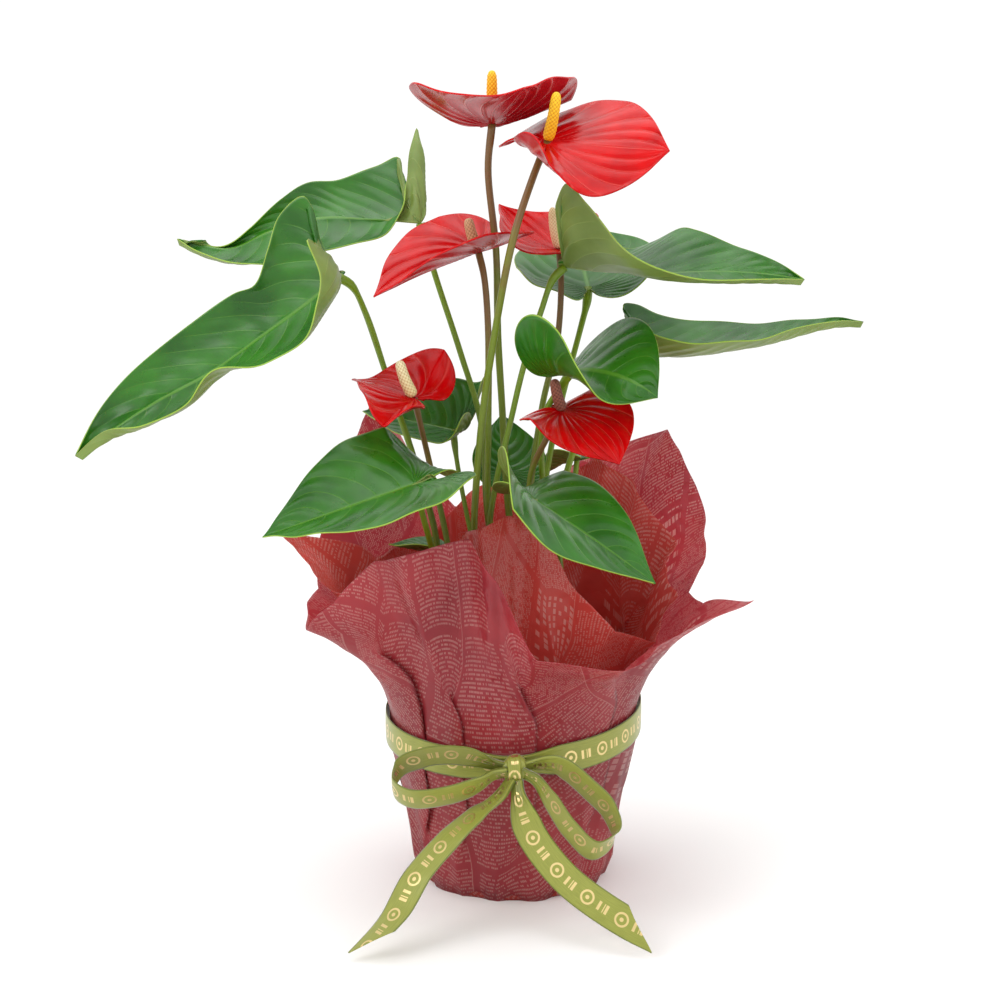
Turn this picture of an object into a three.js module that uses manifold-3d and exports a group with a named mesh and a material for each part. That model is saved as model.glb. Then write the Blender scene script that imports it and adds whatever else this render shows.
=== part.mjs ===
// A potted anthurium as a florist sells it: three young plants in one grower pot, stood on two
// crossed squares of printed film that are gathered up round the pot and tied with a satin ribbon.
// Millimetres and degrees, +Z up, the front of the gift wrap towards -Y, and the origin on the
// ground under the middle of the pot.
import * as THREE from "three";
import { mergeVertices } from "three/addons/utils/BufferGeometryUtils.js";
import Module from "manifold-3d";

const wasm = await Module();
wasm.setup();

// ---- driving dimensions ----

const GAP = 0.3; // clearance that pieces keep where they touch

const FILM = 0.5; // thickness given to each sheet of film
const POT = { baseRadius: 44, rimRadius: 60, height: 108, wall: 1.2, lip: 2.5, lipHeight: 9, foot: 3 };
const MIX_BELOW_RIM = 10; // how far the potting mix lies below the rim
const CROWN = { radius: 13.5, topRadius: 12.5, height: 8, stalkRing: 9 };

const COLLAR = {
  baseRadius: POT.baseRadius + 5, // where the film turns up from the ground
  lowRadius: POT.baseRadius + 10, // just above the ground
  lowHeight: 10,
  tieRadius: POT.rimRadius + 6, // at the ribbon
  tieHeight: POT.height - 24,
  tieRise: 7, // how far the tie climbs from the middle of the pot to its back
  tieLean: 3, // how far it climbs from the middle to the right
  sleeve: 9, // film that stays upright above and below the middle of the ribbon
};

const RIBBON = { width: 15, thickness: 1, knotWidth: 17, knotDepth: 11, knotHeight: 17 };

const HUB_RADIUS = 2.4; // thickened joint between a stalk and its blade

// ---- small maths ----

const rad = THREE.MathUtils.degToRad;
const vec = (x, y, z) => new THREE.Vector3(x, y, z);

/** Unit vector at a compass heading (0 is +X, 90 is +Y) and a pitch above level, in degrees. */
function heading(head, pitch) {
  const [h, p] = [rad(head), rad(pitch)];
  return vec(Math.cos(p) * Math.cos(h), Math.cos(p) * Math.sin(h), Math.sin(p));
}

/** Value at an angle between stations that go once round, each with an az and the named value. */
function around(stations, key, az, ease = (t) => t) {
  const wrapped = ((az % 360) + 360) % 360;
  const next = stations.findIndex((s) => s.az > wrapped);
  const b = stations[next < 0 ? 0 : next];
  const a = stations.at((next < 0 ? 0 : next) - 1);
  const span = (b.az - a.az + 360) % 360;
  const t = ((wrapped - a.az + 360) % 360) / span;
  return a[key] + (b[key] - a[key]) * ease(t);
}
const smooth = (t) => t * t * (3 - 2 * t);

// ---- closed surfaces ----

/** Makes a geometry from corner points, dropping the triangles that shrink to nothing. */
function closed(points, triangles) {
  const geometry = new THREE.BufferGeometry().setFromPoints(points);
  geometry.setIndex(triangles.flat());
  const merged = mergeVertices(geometry, 1e-3);
  const index = merged.index.array;
  const kept = [];
  for (let i = 0; i < index.length; i += 3) {
    const [a, b, c] = index.slice(i, i + 3);
    if (a !== b && b !== c && c !== a) kept.push(a, b, c);
  }
  merged.setIndex(kept);
  merged.computeVertexNormals();
  return merged;
}

/** Skins rings of points, each ring running the same way round, and caps both ends with fans. */
function skin(rings) {
  const points = rings.flat();
  const n = rings[0].length;
  const triangles = [];
  for (let r = 0; r + 1 < rings.length; r++) {
    for (let i = 0; i < n; i++) {
      const [a, b] = [r * n + i, r * n + ((i + 1) % n)];
      triangles.push([a, b, b + n], [a, b + n, a + n]);
    }
  }
  const last = (rings.length - 1) * n;
  for (let i = 1; i + 1 < n; i++) {
    triangles.push([0, i + 1, i], [last, last + i, last + i + 1]);
  }
  return closed(points, triangles);
}

function toSolid(geometry) {
  const bare = geometry.clone();
  bare.deleteAttribute("normal");
  bare.deleteAttribute("uv");
  const merged = mergeVertices(bare, 1e-3);
  return new wasm.Manifold(
    new wasm.Mesh({
      numProp: 3,
      vertProperties: merged.getAttribute("position").array,
      triVerts: new Uint32Array(merged.index.array),
    }),
  );
}

function toGeometry(solid) {
  const mesh = solid.getMesh();
  const geometry = new THREE.BufferGeometry();
  geometry.setAttribute("position", new THREE.BufferAttribute(mesh.vertProperties, 3));
  geometry.setIndex(new THREE.BufferAttribute(mesh.triVerts, 1));
  geometry.computeVertexNormals();
  return geometry;
}

// ---- heights that everything stands on ----

const FLOOR_OF = {
  outerFilm: 0,
  innerFilm: FILM + GAP,
  pot: 2 * FILM + 2 * GAP,
};
const MIX_TOP = FLOOR_OF.pot + POT.height - MIX_BELOW_RIM;
const CROWN_BASE = MIX_TOP + GAP;

// ---- materials ----

const paint = (color, roughness) => new THREE.MeshStandardMaterial({ color, roughness, metalness: 0 });
const MATERIALS = {
  pot: paint("#3a3532", 0.6),
  mix: paint("#33241a", 0.95),
  crown: paint("#7d6a35", 0.7),
  filmOuter: paint("#8e3040", 0.35),
  filmInner: paint("#c2524a", 0.35),
  ribbon: paint("#8d9a45", 0.4),
  leaf: paint("#2f6420", 0.35),
  petiole: paint("#6f8426", 0.5),
  spathe: paint("#d3201f", 0.25),
  peduncle: paint("#74552a", 0.5),
  spadixYellow: paint("#efc022", 0.55),
  spadixCream: paint("#dfd19a", 0.6),
  spadixTan: paint("#c0906a", 0.6),
  spadixBrown: paint("#85483a", 0.7),
  sheath: paint("#a8705e", 0.6),
};

const plant = new THREE.Group();
const shoots = new THREE.Group(); // all that grows, with heights measured from under the crowns
shoots.position.z = CROWN_BASE;
plant.add(shoots);

function add(name, geometry, material, parent = plant) {
  const mesh = new THREE.Mesh(geometry, material);
  mesh.name = name;
  parent.add(mesh);
  return mesh;
}

// ---- pot, mix and crowns ----

/** Turned solid about the Z axis from [radius, height] points. */
function turned(profile, sides) {
  const points = profile.map(([r, z]) => new THREE.Vector2(r, z));
  return new THREE.LatheGeometry(points, sides).rotateX(Math.PI / 2);
}

/** Radius of the pot's outside at a height above its base. */
function potRadius(height) {
  return POT.baseRadius + ((POT.rimRadius - POT.lip - POT.baseRadius) * height) / POT.height;
}

function growerPot() {
  const top = POT.height;
  const underLip = top - POT.lipHeight;
  const profile = [
    [0, POT.foot],
    [POT.baseRadius - 2 * POT.wall, POT.foot],
    [POT.baseRadius - POT.wall, 0],
    [POT.baseRadius, 0],
    [potRadius(underLip), underLip],
    [POT.rimRadius, underLip],
    [POT.rimRadius, top],
    [potRadius(top) - POT.wall, top],
    [potRadius(POT.foot + POT.wall) - POT.wall, POT.foot + POT.wall],
    [0, POT.foot + POT.wall],
  ];
  return turned(profile, 32);
}

function pottingMix() {
  const bottom = POT.foot + POT.wall + GAP;
  const top = POT.height - MIX_BELOW_RIM;
  const inset = POT.wall + 2 * GAP;
  const profile = [
    [0, bottom],
    [potRadius(bottom) - inset, bottom],
    [potRadius(top) - inset, top],
    [0, top],
  ];
  return turned(profile, 32);
}

add("grower_pot", growerPot(), MATERIALS.pot).position.z = FLOOR_OF.pot;
add("potting_mix", pottingMix(), MATERIALS.mix).position.z = FLOOR_OF.pot;

/** The three young plants in the pot, each by the middle of its crown. */
const CROWNS = {
  left: vec(-27, -8, 0),
  middle: vec(1, 13, 0),
  right: vec(20, -18, 0),
};
for (const [side, place] of Object.entries(CROWNS)) {
  const profile = [
    [0, 0],
    [CROWN.radius, 0],
    [CROWN.topRadius, CROWN.height],
    [0, CROWN.height],
  ];
  add(`crown_${side}`, turned(profile, 16), MATERIALS.crown, shoots).position.copy(place);
}

/** Where a stalk leaves its crown: on a ring round the crown's middle, at an angle in degrees. */
function footOf({ crown, foot }) {
  const middle = CROWNS[crown];
  const reach = heading(foot, 0).multiplyScalar(CROWN.stalkRing);
  return vec(middle.x + reach.x, middle.y + reach.y, CROWN.height + GAP);
}

// ---- film ----

/**
 * The edge of each sheet above the tie, going round from +X: how far the film reaches past the
 * sleeve and how far that stretch leans out from upright. Long reaches are the sheet's corners.
 */
const OUTER_EDGE = [
  { az: 5, reach: 60, lean: 32 },
  { az: 20, reach: 92, lean: 34 },
  { az: 40, reach: 138, lean: 22 },
  { az: 68, reach: 110, lean: 17 },
  { az: 90, reach: 92, lean: 18 },
  { az: 112, reach: 88, lean: 16 },
  { az: 145, reach: 154, lean: 13 },
  { az: 165, reach: 102, lean: 22 },
  { az: 185, reach: 76, lean: 34 },
  { az: 208, reach: 76, lean: 45 },
  { az: 218, reach: 84, lean: 34 },
  { az: 228, reach: 102, lean: 23 },
  { az: 255, reach: 108, lean: 13 },
  { az: 264, reach: 92, lean: 18 },
  { az: 276, reach: 62, lean: 38 },
  { az: 300, reach: 58, lean: 44 },
  { az: 318, reach: 70, lean: 42 },
  { az: 332, reach: 94, lean: 46 },
  { az: 348, reach: 66, lean: 36 },
];
const INNER_EDGE = [
  { az: 8, reach: 76, lean: 20 },
  { az: 30, reach: 104, lean: 13 },
  { az: 52, reach: 114, lean: 8 },
  { az: 78, reach: 92, lean: 7 },
  { az: 100, reach: 100, lean: 9 },
  { az: 140, reach: 74, lean: 6 },
  { az: 170, reach: 76, lean: 15 },
  { az: 190, reach: 112, lean: 31 },
  { az: 206, reach: 84, lean: 32 },
  { az: 222, reach: 70, lean: 12 },
  { az: 248, reach: 104, lean: 4 },
  { az: 266, reach: 112, lean: 2 },
  { az: 281, reach: 110, lean: 1 },
  { az: 293, reach: 80, lean: 8 },
  { az: 306, reach: 58, lean: 24 },
  { az: 330, reach: 48, lean: 32 },
  { az: 348, reach: 62, lean: 24 },
];

/** Height of the middle of the ribbon at an angle round the pot. */
function tieHeight(az) {
  return COLLAR.tieHeight + COLLAR.tieRise * Math.sin(rad(az)) + COLLAR.tieLean * Math.cos(rad(az));
}

/** [radius, height] up the film below its flare, a given depth inside the wrap's outer face. */
function wallProfile(az, depth) {
  const tie = tieHeight(az);
  const taper = (COLLAR.tieRadius - COLLAR.lowRadius) / (tie - COLLAR.sleeve - COLLAR.lowHeight);
  const middle = (tie + COLLAR.lowHeight) / 2;
  return [
    [0, depth],
    [COLLAR.baseRadius - depth, depth],
    [COLLAR.lowRadius - depth, COLLAR.lowHeight],
    [COLLAR.lowRadius + taper * (middle - COLLAR.lowHeight) - depth, middle],
    [COLLAR.tieRadius - depth, tie - COLLAR.sleeve],
    [COLLAR.tieRadius - depth, tie + COLLAR.sleeve],
  ];
}

/** [radius, height] at a share of the way from the sleeve to the film's edge, which bends outward. */
function flareProfile(edge, az, depth, share) {
  const length = around(edge, "reach", az) * share;
  const lean = rad(around(edge, "lean", az, smooth) * (0.4 + 0.6 * share));
  const radius = COLLAR.tieRadius + length * Math.sin(lean) - depth * Math.cos(lean);
  const height = tieHeight(az) + COLLAR.sleeve + length * Math.cos(lean) + depth * Math.sin(lean);
  return [radius, height];
}

/** One sheet of film: up from the ground, in at the tie and out again to its edge, both faces. */
function filmSheet(edge, depth) {
  const columns = 48;
  const flareRows = 4;
  const face = (inside) => {
    const rings = [];
    for (let row = 0; row < 6 + flareRows; row++) {
      const ring = [];
      for (let i = 0; i < columns; i++) {
        const az = (360 * i) / columns;
        const [r, z] =
          row < 6 ? wallProfile(az, inside)[row] : flareProfile(edge, az, inside, (row - 5) / flareRows);
        ring.push(heading(az, 0).multiplyScalar(r).add(vec(0, 0, z)));
      }
      rings.push(ring);
    }
    return rings;
  };
  return skin([...face(depth), ...face(depth + FILM).reverse()]);
}

add("film_outer", filmSheet(OUTER_EDGE, FLOOR_OF.outerFilm), MATERIALS.filmOuter);
add("film_inner", filmSheet(INNER_EDGE, FLOOR_OF.innerFilm), MATERIALS.filmInner);

// ---- ribbon ----

const BAND_RADIUS = COLLAR.tieRadius + GAP; // inside of the ribbon where it is pulled tight
const KNOT = vec(
  0,
  -(BAND_RADIUS + RIBBON.thickness + GAP + RIBBON.knotDepth / 2),
  tieHeight(270),
);

/** Sweeps a flat strip along bends; across is the way that its width lies at every bend. */
function strip(bends, across, { width, thickness }, steps) {
  const path = new THREE.CatmullRomCurve3(bends, false, "centripetal");
  const rings = [];
  for (let i = 0; i <= steps; i++) {
    const t = i / steps;
    const [point, tangent] = [path.getPointAt(t), path.getTangentAt(t)];
    const face = tangent.clone().cross(across).normalize();
    const wide = face.clone().cross(tangent).normalize();
    const [w, h] = [wide.multiplyScalar(width / 2), face.multiplyScalar(thickness / 2)];
    rings.push([
      point.clone().add(w).add(h),
      point.clone().sub(w).add(h),
      point.clone().sub(w).sub(h),
      point.clone().add(w).sub(h),
    ]);
  }
  return skin(rings);
}

/** The band round the tie: a flat ring that climbs from the front to the back. */
function ribbonBand() {
  const columns = 48;
  const [inner, outer] = [BAND_RADIUS, BAND_RADIUS + RIBBON.thickness];
  const corners = [
    [inner, -RIBBON.width / 2],
    [outer, -RIBBON.width / 2],
    [outer, RIBBON.width / 2],
    [inner, RIBBON.width / 2],
  ];
  const points = [];
  const triangles = [];
  for (let i = 0; i < columns; i++) {
    const az = (360 * i) / columns;
    for (let k = 0; k < 4; k++) {
      const [r, z] = corners[k];
      points.push(heading(az, 0).multiplyScalar(r).add(vec(0, 0, tieHeight(az) + z)));
      const [a, b] = [i * 4 + k, i * 4 + ((k + 1) % 4)];
      const [c, d] = [((i + 1) % columns) * 4 + ((k + 1) % 4), ((i + 1) % columns) * 4 + k];
      triangles.push([a, c, b], [a, d, c]);
    }
  }
  return closed(points, triangles);
}

function knot() {
  const { knotWidth, knotDepth, knotHeight } = RIBBON;
  return new THREE.SphereGeometry(0.5, 14, 10).scale(knotWidth, knotDepth, knotHeight);
}

/**
 * Bends of each loop and tail of a 15 wide ribbon, from the middle of a knot 77 above the ground;
 * across is how the ribbon's width lies. A wider ribbon makes bigger loops and stands its tails
 * further forward, and the lower bends of the tails follow the knot's height.
 */
const RIBBON_ENDS = {
  loop_left: {
    across: [0, -0.6, 0.8],
    bends: [[-9.5, 0, 2], [-25, -4, 7], [-42, -4, 7], [-55, -2, 1], [-58, -7, -6], [-50, -13, -10],
      [-32, -14, -9], [-17, -11, -5], [-10.5, -6, -2]],
  },
  loop_right: {
    across: [0.2, -0.55, 0.8],
    bends: [[9.5, 0, 2], [22, -5, 2], [35, -9, -7], [45, -11, -17], [48, -16, -27], [38, -21, -33],
      [26, -18, -24], [17, -13, -12], [10.5, -7, -4]],
  },
  tail_left: {
    across: [0.86, 0, 0.5],
    bends: [[-8, -12.5, -11], [-19, -15.5, -18.5], [-31, -21, -27.5], [-45, -29, -41], [-56, -40, -58],
      [-72, -53, -73]],
  },
  tail_right: {
    across: [0.7, 0, 0.7],
    bends: [[0, -9, -13], [8, -15, -28], [22, -25, -43], [38, -34, -54], [53, -41, -62], [66, -45, -67]],
  },
};

add("ribbon_band", ribbonBand(), MATERIALS.ribbon);
add("ribbon_knot", knot(), MATERIALS.ribbon).position.copy(KNOT);
const tailDrop = KNOT.z - 77 - (RIBBON.width - 15) / 4;
for (const [end, { bends, across }] of Object.entries(RIBBON_ENDS)) {
  const points = bends.map(([x, y, z]) =>
    end.startsWith("tail")
      ? vec(x, y - (RIBBON.width - 15), z - tailDrop * (z / 73) ** 2)
      : vec(x, y, z).multiplyScalar(RIBBON.width / 15),
  );
  add(`ribbon_${end}`, strip(points, vec(...across), RIBBON, 20), MATERIALS.ribbon).position.copy(KNOT);
}

// ---- blades ----

/**
 * Half of a heart-shaped blade laid flat, from the notch at the stalk round the lobe to the tip.
 * x is along the midrib in blade lengths and y across it in half widths.
 */
function heartOutline({ lobe, shoulder, waist }, samples) {
  const curves = [
    [0, 0, -0.02, 0.06, -lobe, 0.08, -lobe, 0.48],
    [-lobe, 0.48, -lobe, 0.83, -0.14, 1, shoulder, 1],
    [shoulder, 1, shoulder + 0.38, 1, 0.78, waist, 1, 0],
  ];
  return curves.flatMap((c) => {
    const [p, q, r, s] = [0, 2, 4, 6].map((k) => new THREE.Vector2(c[k], c[k + 1]));
    return new THREE.CubicBezierCurve(p, q, r, s).getPoints(samples).slice(1);
  });
}
const LEAF = { lobe: 0.33, shoulder: 0.08, waist: 0.22, thickness: 0.8, columns: 3 };
const SPATHE = { lobe: 0.33, shoulder: 0.15, waist: 0.32, thickness: 1, columns: 2 };
const BLADE_ROWS = 4; // rows of faces along each of the outline's three curves

/** Where a row starts on the midrib: at the joint beside the lobes, then further and further out. */
const rootOf = (x) => Math.max(0, (x + 0.05) / 1.05);

/**
 * A heart-shaped blade bent into its pose. head and pitch aim the midrib, roll turns the blade about
 * it, and droop, sweep and twist change those by the tip. fold, curl, lift and tuck are [left, right]:
 * how far each half rises from flat, how much it rolls up towards its margin, how much more its lobe
 * rises, and how far the lobe is turned up from lying back along the midrib. open eases the fold
 * towards the tip.
 */
function posedBlade(joint, pose, shape) {
  const { head, pitch, roll = 0, length, half, droop = 0, sweep = 0, twist = 0, open = 0 } = pose;
  const pair = (key, side) => (pose[key] ?? [0, 0])[side > 0 ? 0 : 1];
  const frame = (along) => {
    const forward = heading(head + sweep * along, pitch - droop * along);
    const level = heading(head + sweep * along + 90, 0);
    const upright = forward.clone().cross(level);
    const turn = rad(roll + twist * along);
    const left = level.clone().multiplyScalar(Math.cos(turn)).addScaledVector(upright, Math.sin(turn));
    const up = upright.multiplyScalar(Math.cos(turn)).addScaledVector(level, -Math.sin(turn));
    return { forward, left, up };
  };
  return (x, y, side) => {
    const { forward, left, up } = frame(x);
    const ahead = Math.max(0, x);
    const behind = Math.max(0, -x);
    const lobeShare = Math.min(1, behind / shape.lobe);
    const tuck = rad(pair("tuck", side) * lobeShare);
    const fold = pair("fold", side) * (1 - open * ahead) + (pair("lift", side) * behind) / shape.lobe;
    const rise = rad(fold + (pair("curl", side) * y) / 2);
    return heading(head + (sweep * ahead) / 2, pitch - (droop * ahead) / 2)
      .multiplyScalar(ahead * length)
      .add(joint)
      .addScaledVector(forward, -behind * length * Math.cos(tuck))
      .addScaledVector(up, behind * length * Math.sin(tuck))
      .addScaledVector(left, side * y * half * Math.cos(rise))
      .addScaledVector(up, y * half * Math.sin(rise));
  };
}

/** A closed skin over both halves of a blade from grids of places on it, rows from notch to tip. */
function bladeSkin(grids, thickness) {
  const points = [];
  const triangles = [];
  const rows = grids[0].length;
  const columns = grids[0][0].length;
  // each place is pushed out along the blade's own normal, found from its neighbours in the grid
  const normalAt = (grid, row, column, side) => {
    const c = Math.max(1, column);
    const along = grid[Math.min(row + 1, rows - 1)][c].clone().sub(grid[Math.max(row - 1, 0)][c]);
    const across = grid[row][Math.min(c + 1, columns - 1)].clone().sub(grid[row][c - 1]);
    return along.cross(across).multiplyScalar(side).normalize();
  };
  const spine = (row) => {
    const normals = [1, -1].map((side, k) => normalAt(grids[k], Math.min(row, rows - 2), 0, side));
    return normals[0].add(normals[1]).normalize();
  };
  const lobeRows = BLADE_ROWS;
  [1, -1].forEach((side, k) => {
    const grid = grids[k];
    for (const face of [1, -1]) {
      const start = points.length;
      for (let row = 0; row < rows; row++) {
        for (let column = 0; column < columns; column++) {
          const isTip = row === rows - 1;
          let normal = normalAt(grid, row, column, side);
          if (isTip) normal = spine(rows - 2);
          else if (column === 0) normal = spine(Math.max(row, lobeRows));
          points.push(grid[row][column].clone().addScaledVector(normal, (face * thickness) / 2));
          if (isTip || column === columns - 1) continue;
          const a = start + row * columns + column;
          const [b, c, d] = [a + 1, a + columns + 1, a + columns];
          if (side * face > 0) triangles.push([a, c, b], [a, d, c]);
          else triangles.push([a, b, c], [a, c, d]);
        }
      }
    }
    // the wall joins this half's two faces along the notch and then round the margin
    const size = rows * columns;
    const top = points.length - 2 * size;
    const edge = [];
    for (let column = 0; column < columns; column++) edge.push(column);
    for (let row = 1; row < rows; row++) edge.push(row * columns + columns - 1);
    for (let i = 0; i + 1 < edge.length; i++) {
      const [a, b] = [top + edge[i], top + edge[i + 1]];
      if (side > 0) triangles.push([a, b, b + size], [a, b + size, a + size]);
      else triangles.push([a, b + size, b], [a, a + size, b + size]);
    }
  });
  return closed(points, triangles);
}

/** Places on both halves of a posed blade. */
function posedGrids(joint, pose, shape) {
  const place = posedBlade(joint, pose, shape);
  return [1, -1].map((side) =>
    heartOutline(shape, BLADE_ROWS).map(({ x, y }) => {
      const root = rootOf(x);
      const row = [];
      for (let column = 0; column <= shape.columns; column++) {
        const share = column / shape.columns;
        row.push(place(root + (x - root) * share, y * share, side));
      }
      return row;
    }),
  );
}

/**
 * Places on both halves of a draped blade, whose midrib and margins run through hand-placed bends.
 * Every row goes from the midrib to the margin and bellies out by bow at its middle.
 */
function drapedGrids(joint, { midrib, left, right, tip, bow = [0, 0] }, shape) {
  const curve = (bends) =>
    new THREE.CatmullRomCurve3([joint, ...bends.map((p) => vec(...p)), vec(...tip)], false, "centripetal");
  const rib = curve(midrib);
  const rows = 3 * BLADE_ROWS;
  return [left, right].map((bends, k) => {
    const margin = curve(bends);
    const grid = [];
    for (let i = 1; i <= rows; i++) {
      const root = rib.getPointAt(Math.max(0, (i - BLADE_ROWS) / (rows - BLADE_ROWS)));
      const edge = margin.getPointAt(i / rows);
      const along = margin.getTangentAt(i / rows);
      const belly = edge.clone().sub(root).cross(along).normalize().multiplyScalar(k === 0 ? 1 : -1);
      const row = [];
      for (let column = 0; column <= shape.columns; column++) {
        const share = column / shape.columns;
        const height = i === rows ? 0 : 4 * share * (1 - share) * bow[k];
        row.push(root.clone().lerp(edge, share).addScaledVector(belly, height));
      }
      grid.push(row);
    }
    return grid;
  });
}

/** A blade joined to the small round joint that its stalk meets. */
function blade(spec, shape) {
  const joint = vec(...spec.joint);
  const grids = spec.pose ? posedGrids(joint, spec.pose, shape) : drapedGrids(joint, spec.drape, shape);
  const hub = new THREE.SphereGeometry(HUB_RADIUS, 8, 6).rotateX(0.4).translate(...spec.joint);
  return toGeometry(toSolid(bladeSkin(grids, shape.thickness)).add(toSolid(hub)).simplify(0.05));
}

// ---- stalks ----

const round = (sides, radius) => {
  const outline = new THREE.Shape();
  for (let i = 0; i < sides; i++) {
    const angle = (2 * Math.PI * i) / sides;
    const [x, y] = [radius * Math.cos(angle), radius * Math.sin(angle)];
    if (i === 0) outline.moveTo(x, y);
    else outline.lineTo(x, y);
  }
  outline.closePath();
  return outline;
};

/** A stalk from its crown through its hand-placed bends to just short of the blade's joint. */
function stalk({ crown, foot, bends, joint, stalkRadius }) {
  const middle = bends.map((p) => vec(...p));
  const target = vec(...joint);
  const short = target.clone().sub(middle.at(-1)).normalize().multiplyScalar(HUB_RADIUS + GAP);
  const base = footOf({ crown, foot });
  const points = [base, base.clone().add(vec(0, 0, 10)), ...middle, target.sub(short)];
  const extrudePath = new THREE.CatmullRomCurve3(points, false, "centripetal");
  return new THREE.ExtrudeGeometry(round(7, stalkRadius), { steps: 12, extrudePath, bevelEnabled: false });
}

/** A spadix: a blunt rod that tapers a little, standing off the blade's joint. */
function spadix({ joint, spadix: { head, pitch, length, radius } }) {
  const profile = [
    [0, 0],
    [radius, length * 0.06],
    [radius, length * 0.5],
    [radius * 0.8, length * 0.88],
    [radius * 0.4, length * 0.97],
    [0, length],
  ];
  const direction = heading(head, pitch);
  const geometry = turned(profile, 10);
  geometry.applyQuaternion(new THREE.Quaternion().setFromUnitVectors(vec(0, 0, 1), direction));
  return geometry.translate(...vec(...joint).addScaledVector(direction, HUB_RADIUS + GAP));
}

/** A dry sheath: a spike that leans from its crown and thins to a point. */
function sheath({ crown, foot, top, radius }) {
  const base = footOf({ crown, foot });
  const reach = vec(...top).sub(base);
  const height = reach.length();
  const profile = [
    [0, 0],
    [radius, height * 0.08],
    [radius * 0.75, height * 0.6],
    [0, height],
  ];
  const geometry = turned(profile, 7);
  geometry.applyQuaternion(new THREE.Quaternion().setFromUnitVectors(vec(0, 0, 1), reach.normalize()));
  return geometry.translate(...base);
}

// ---- the plant ----

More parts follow.
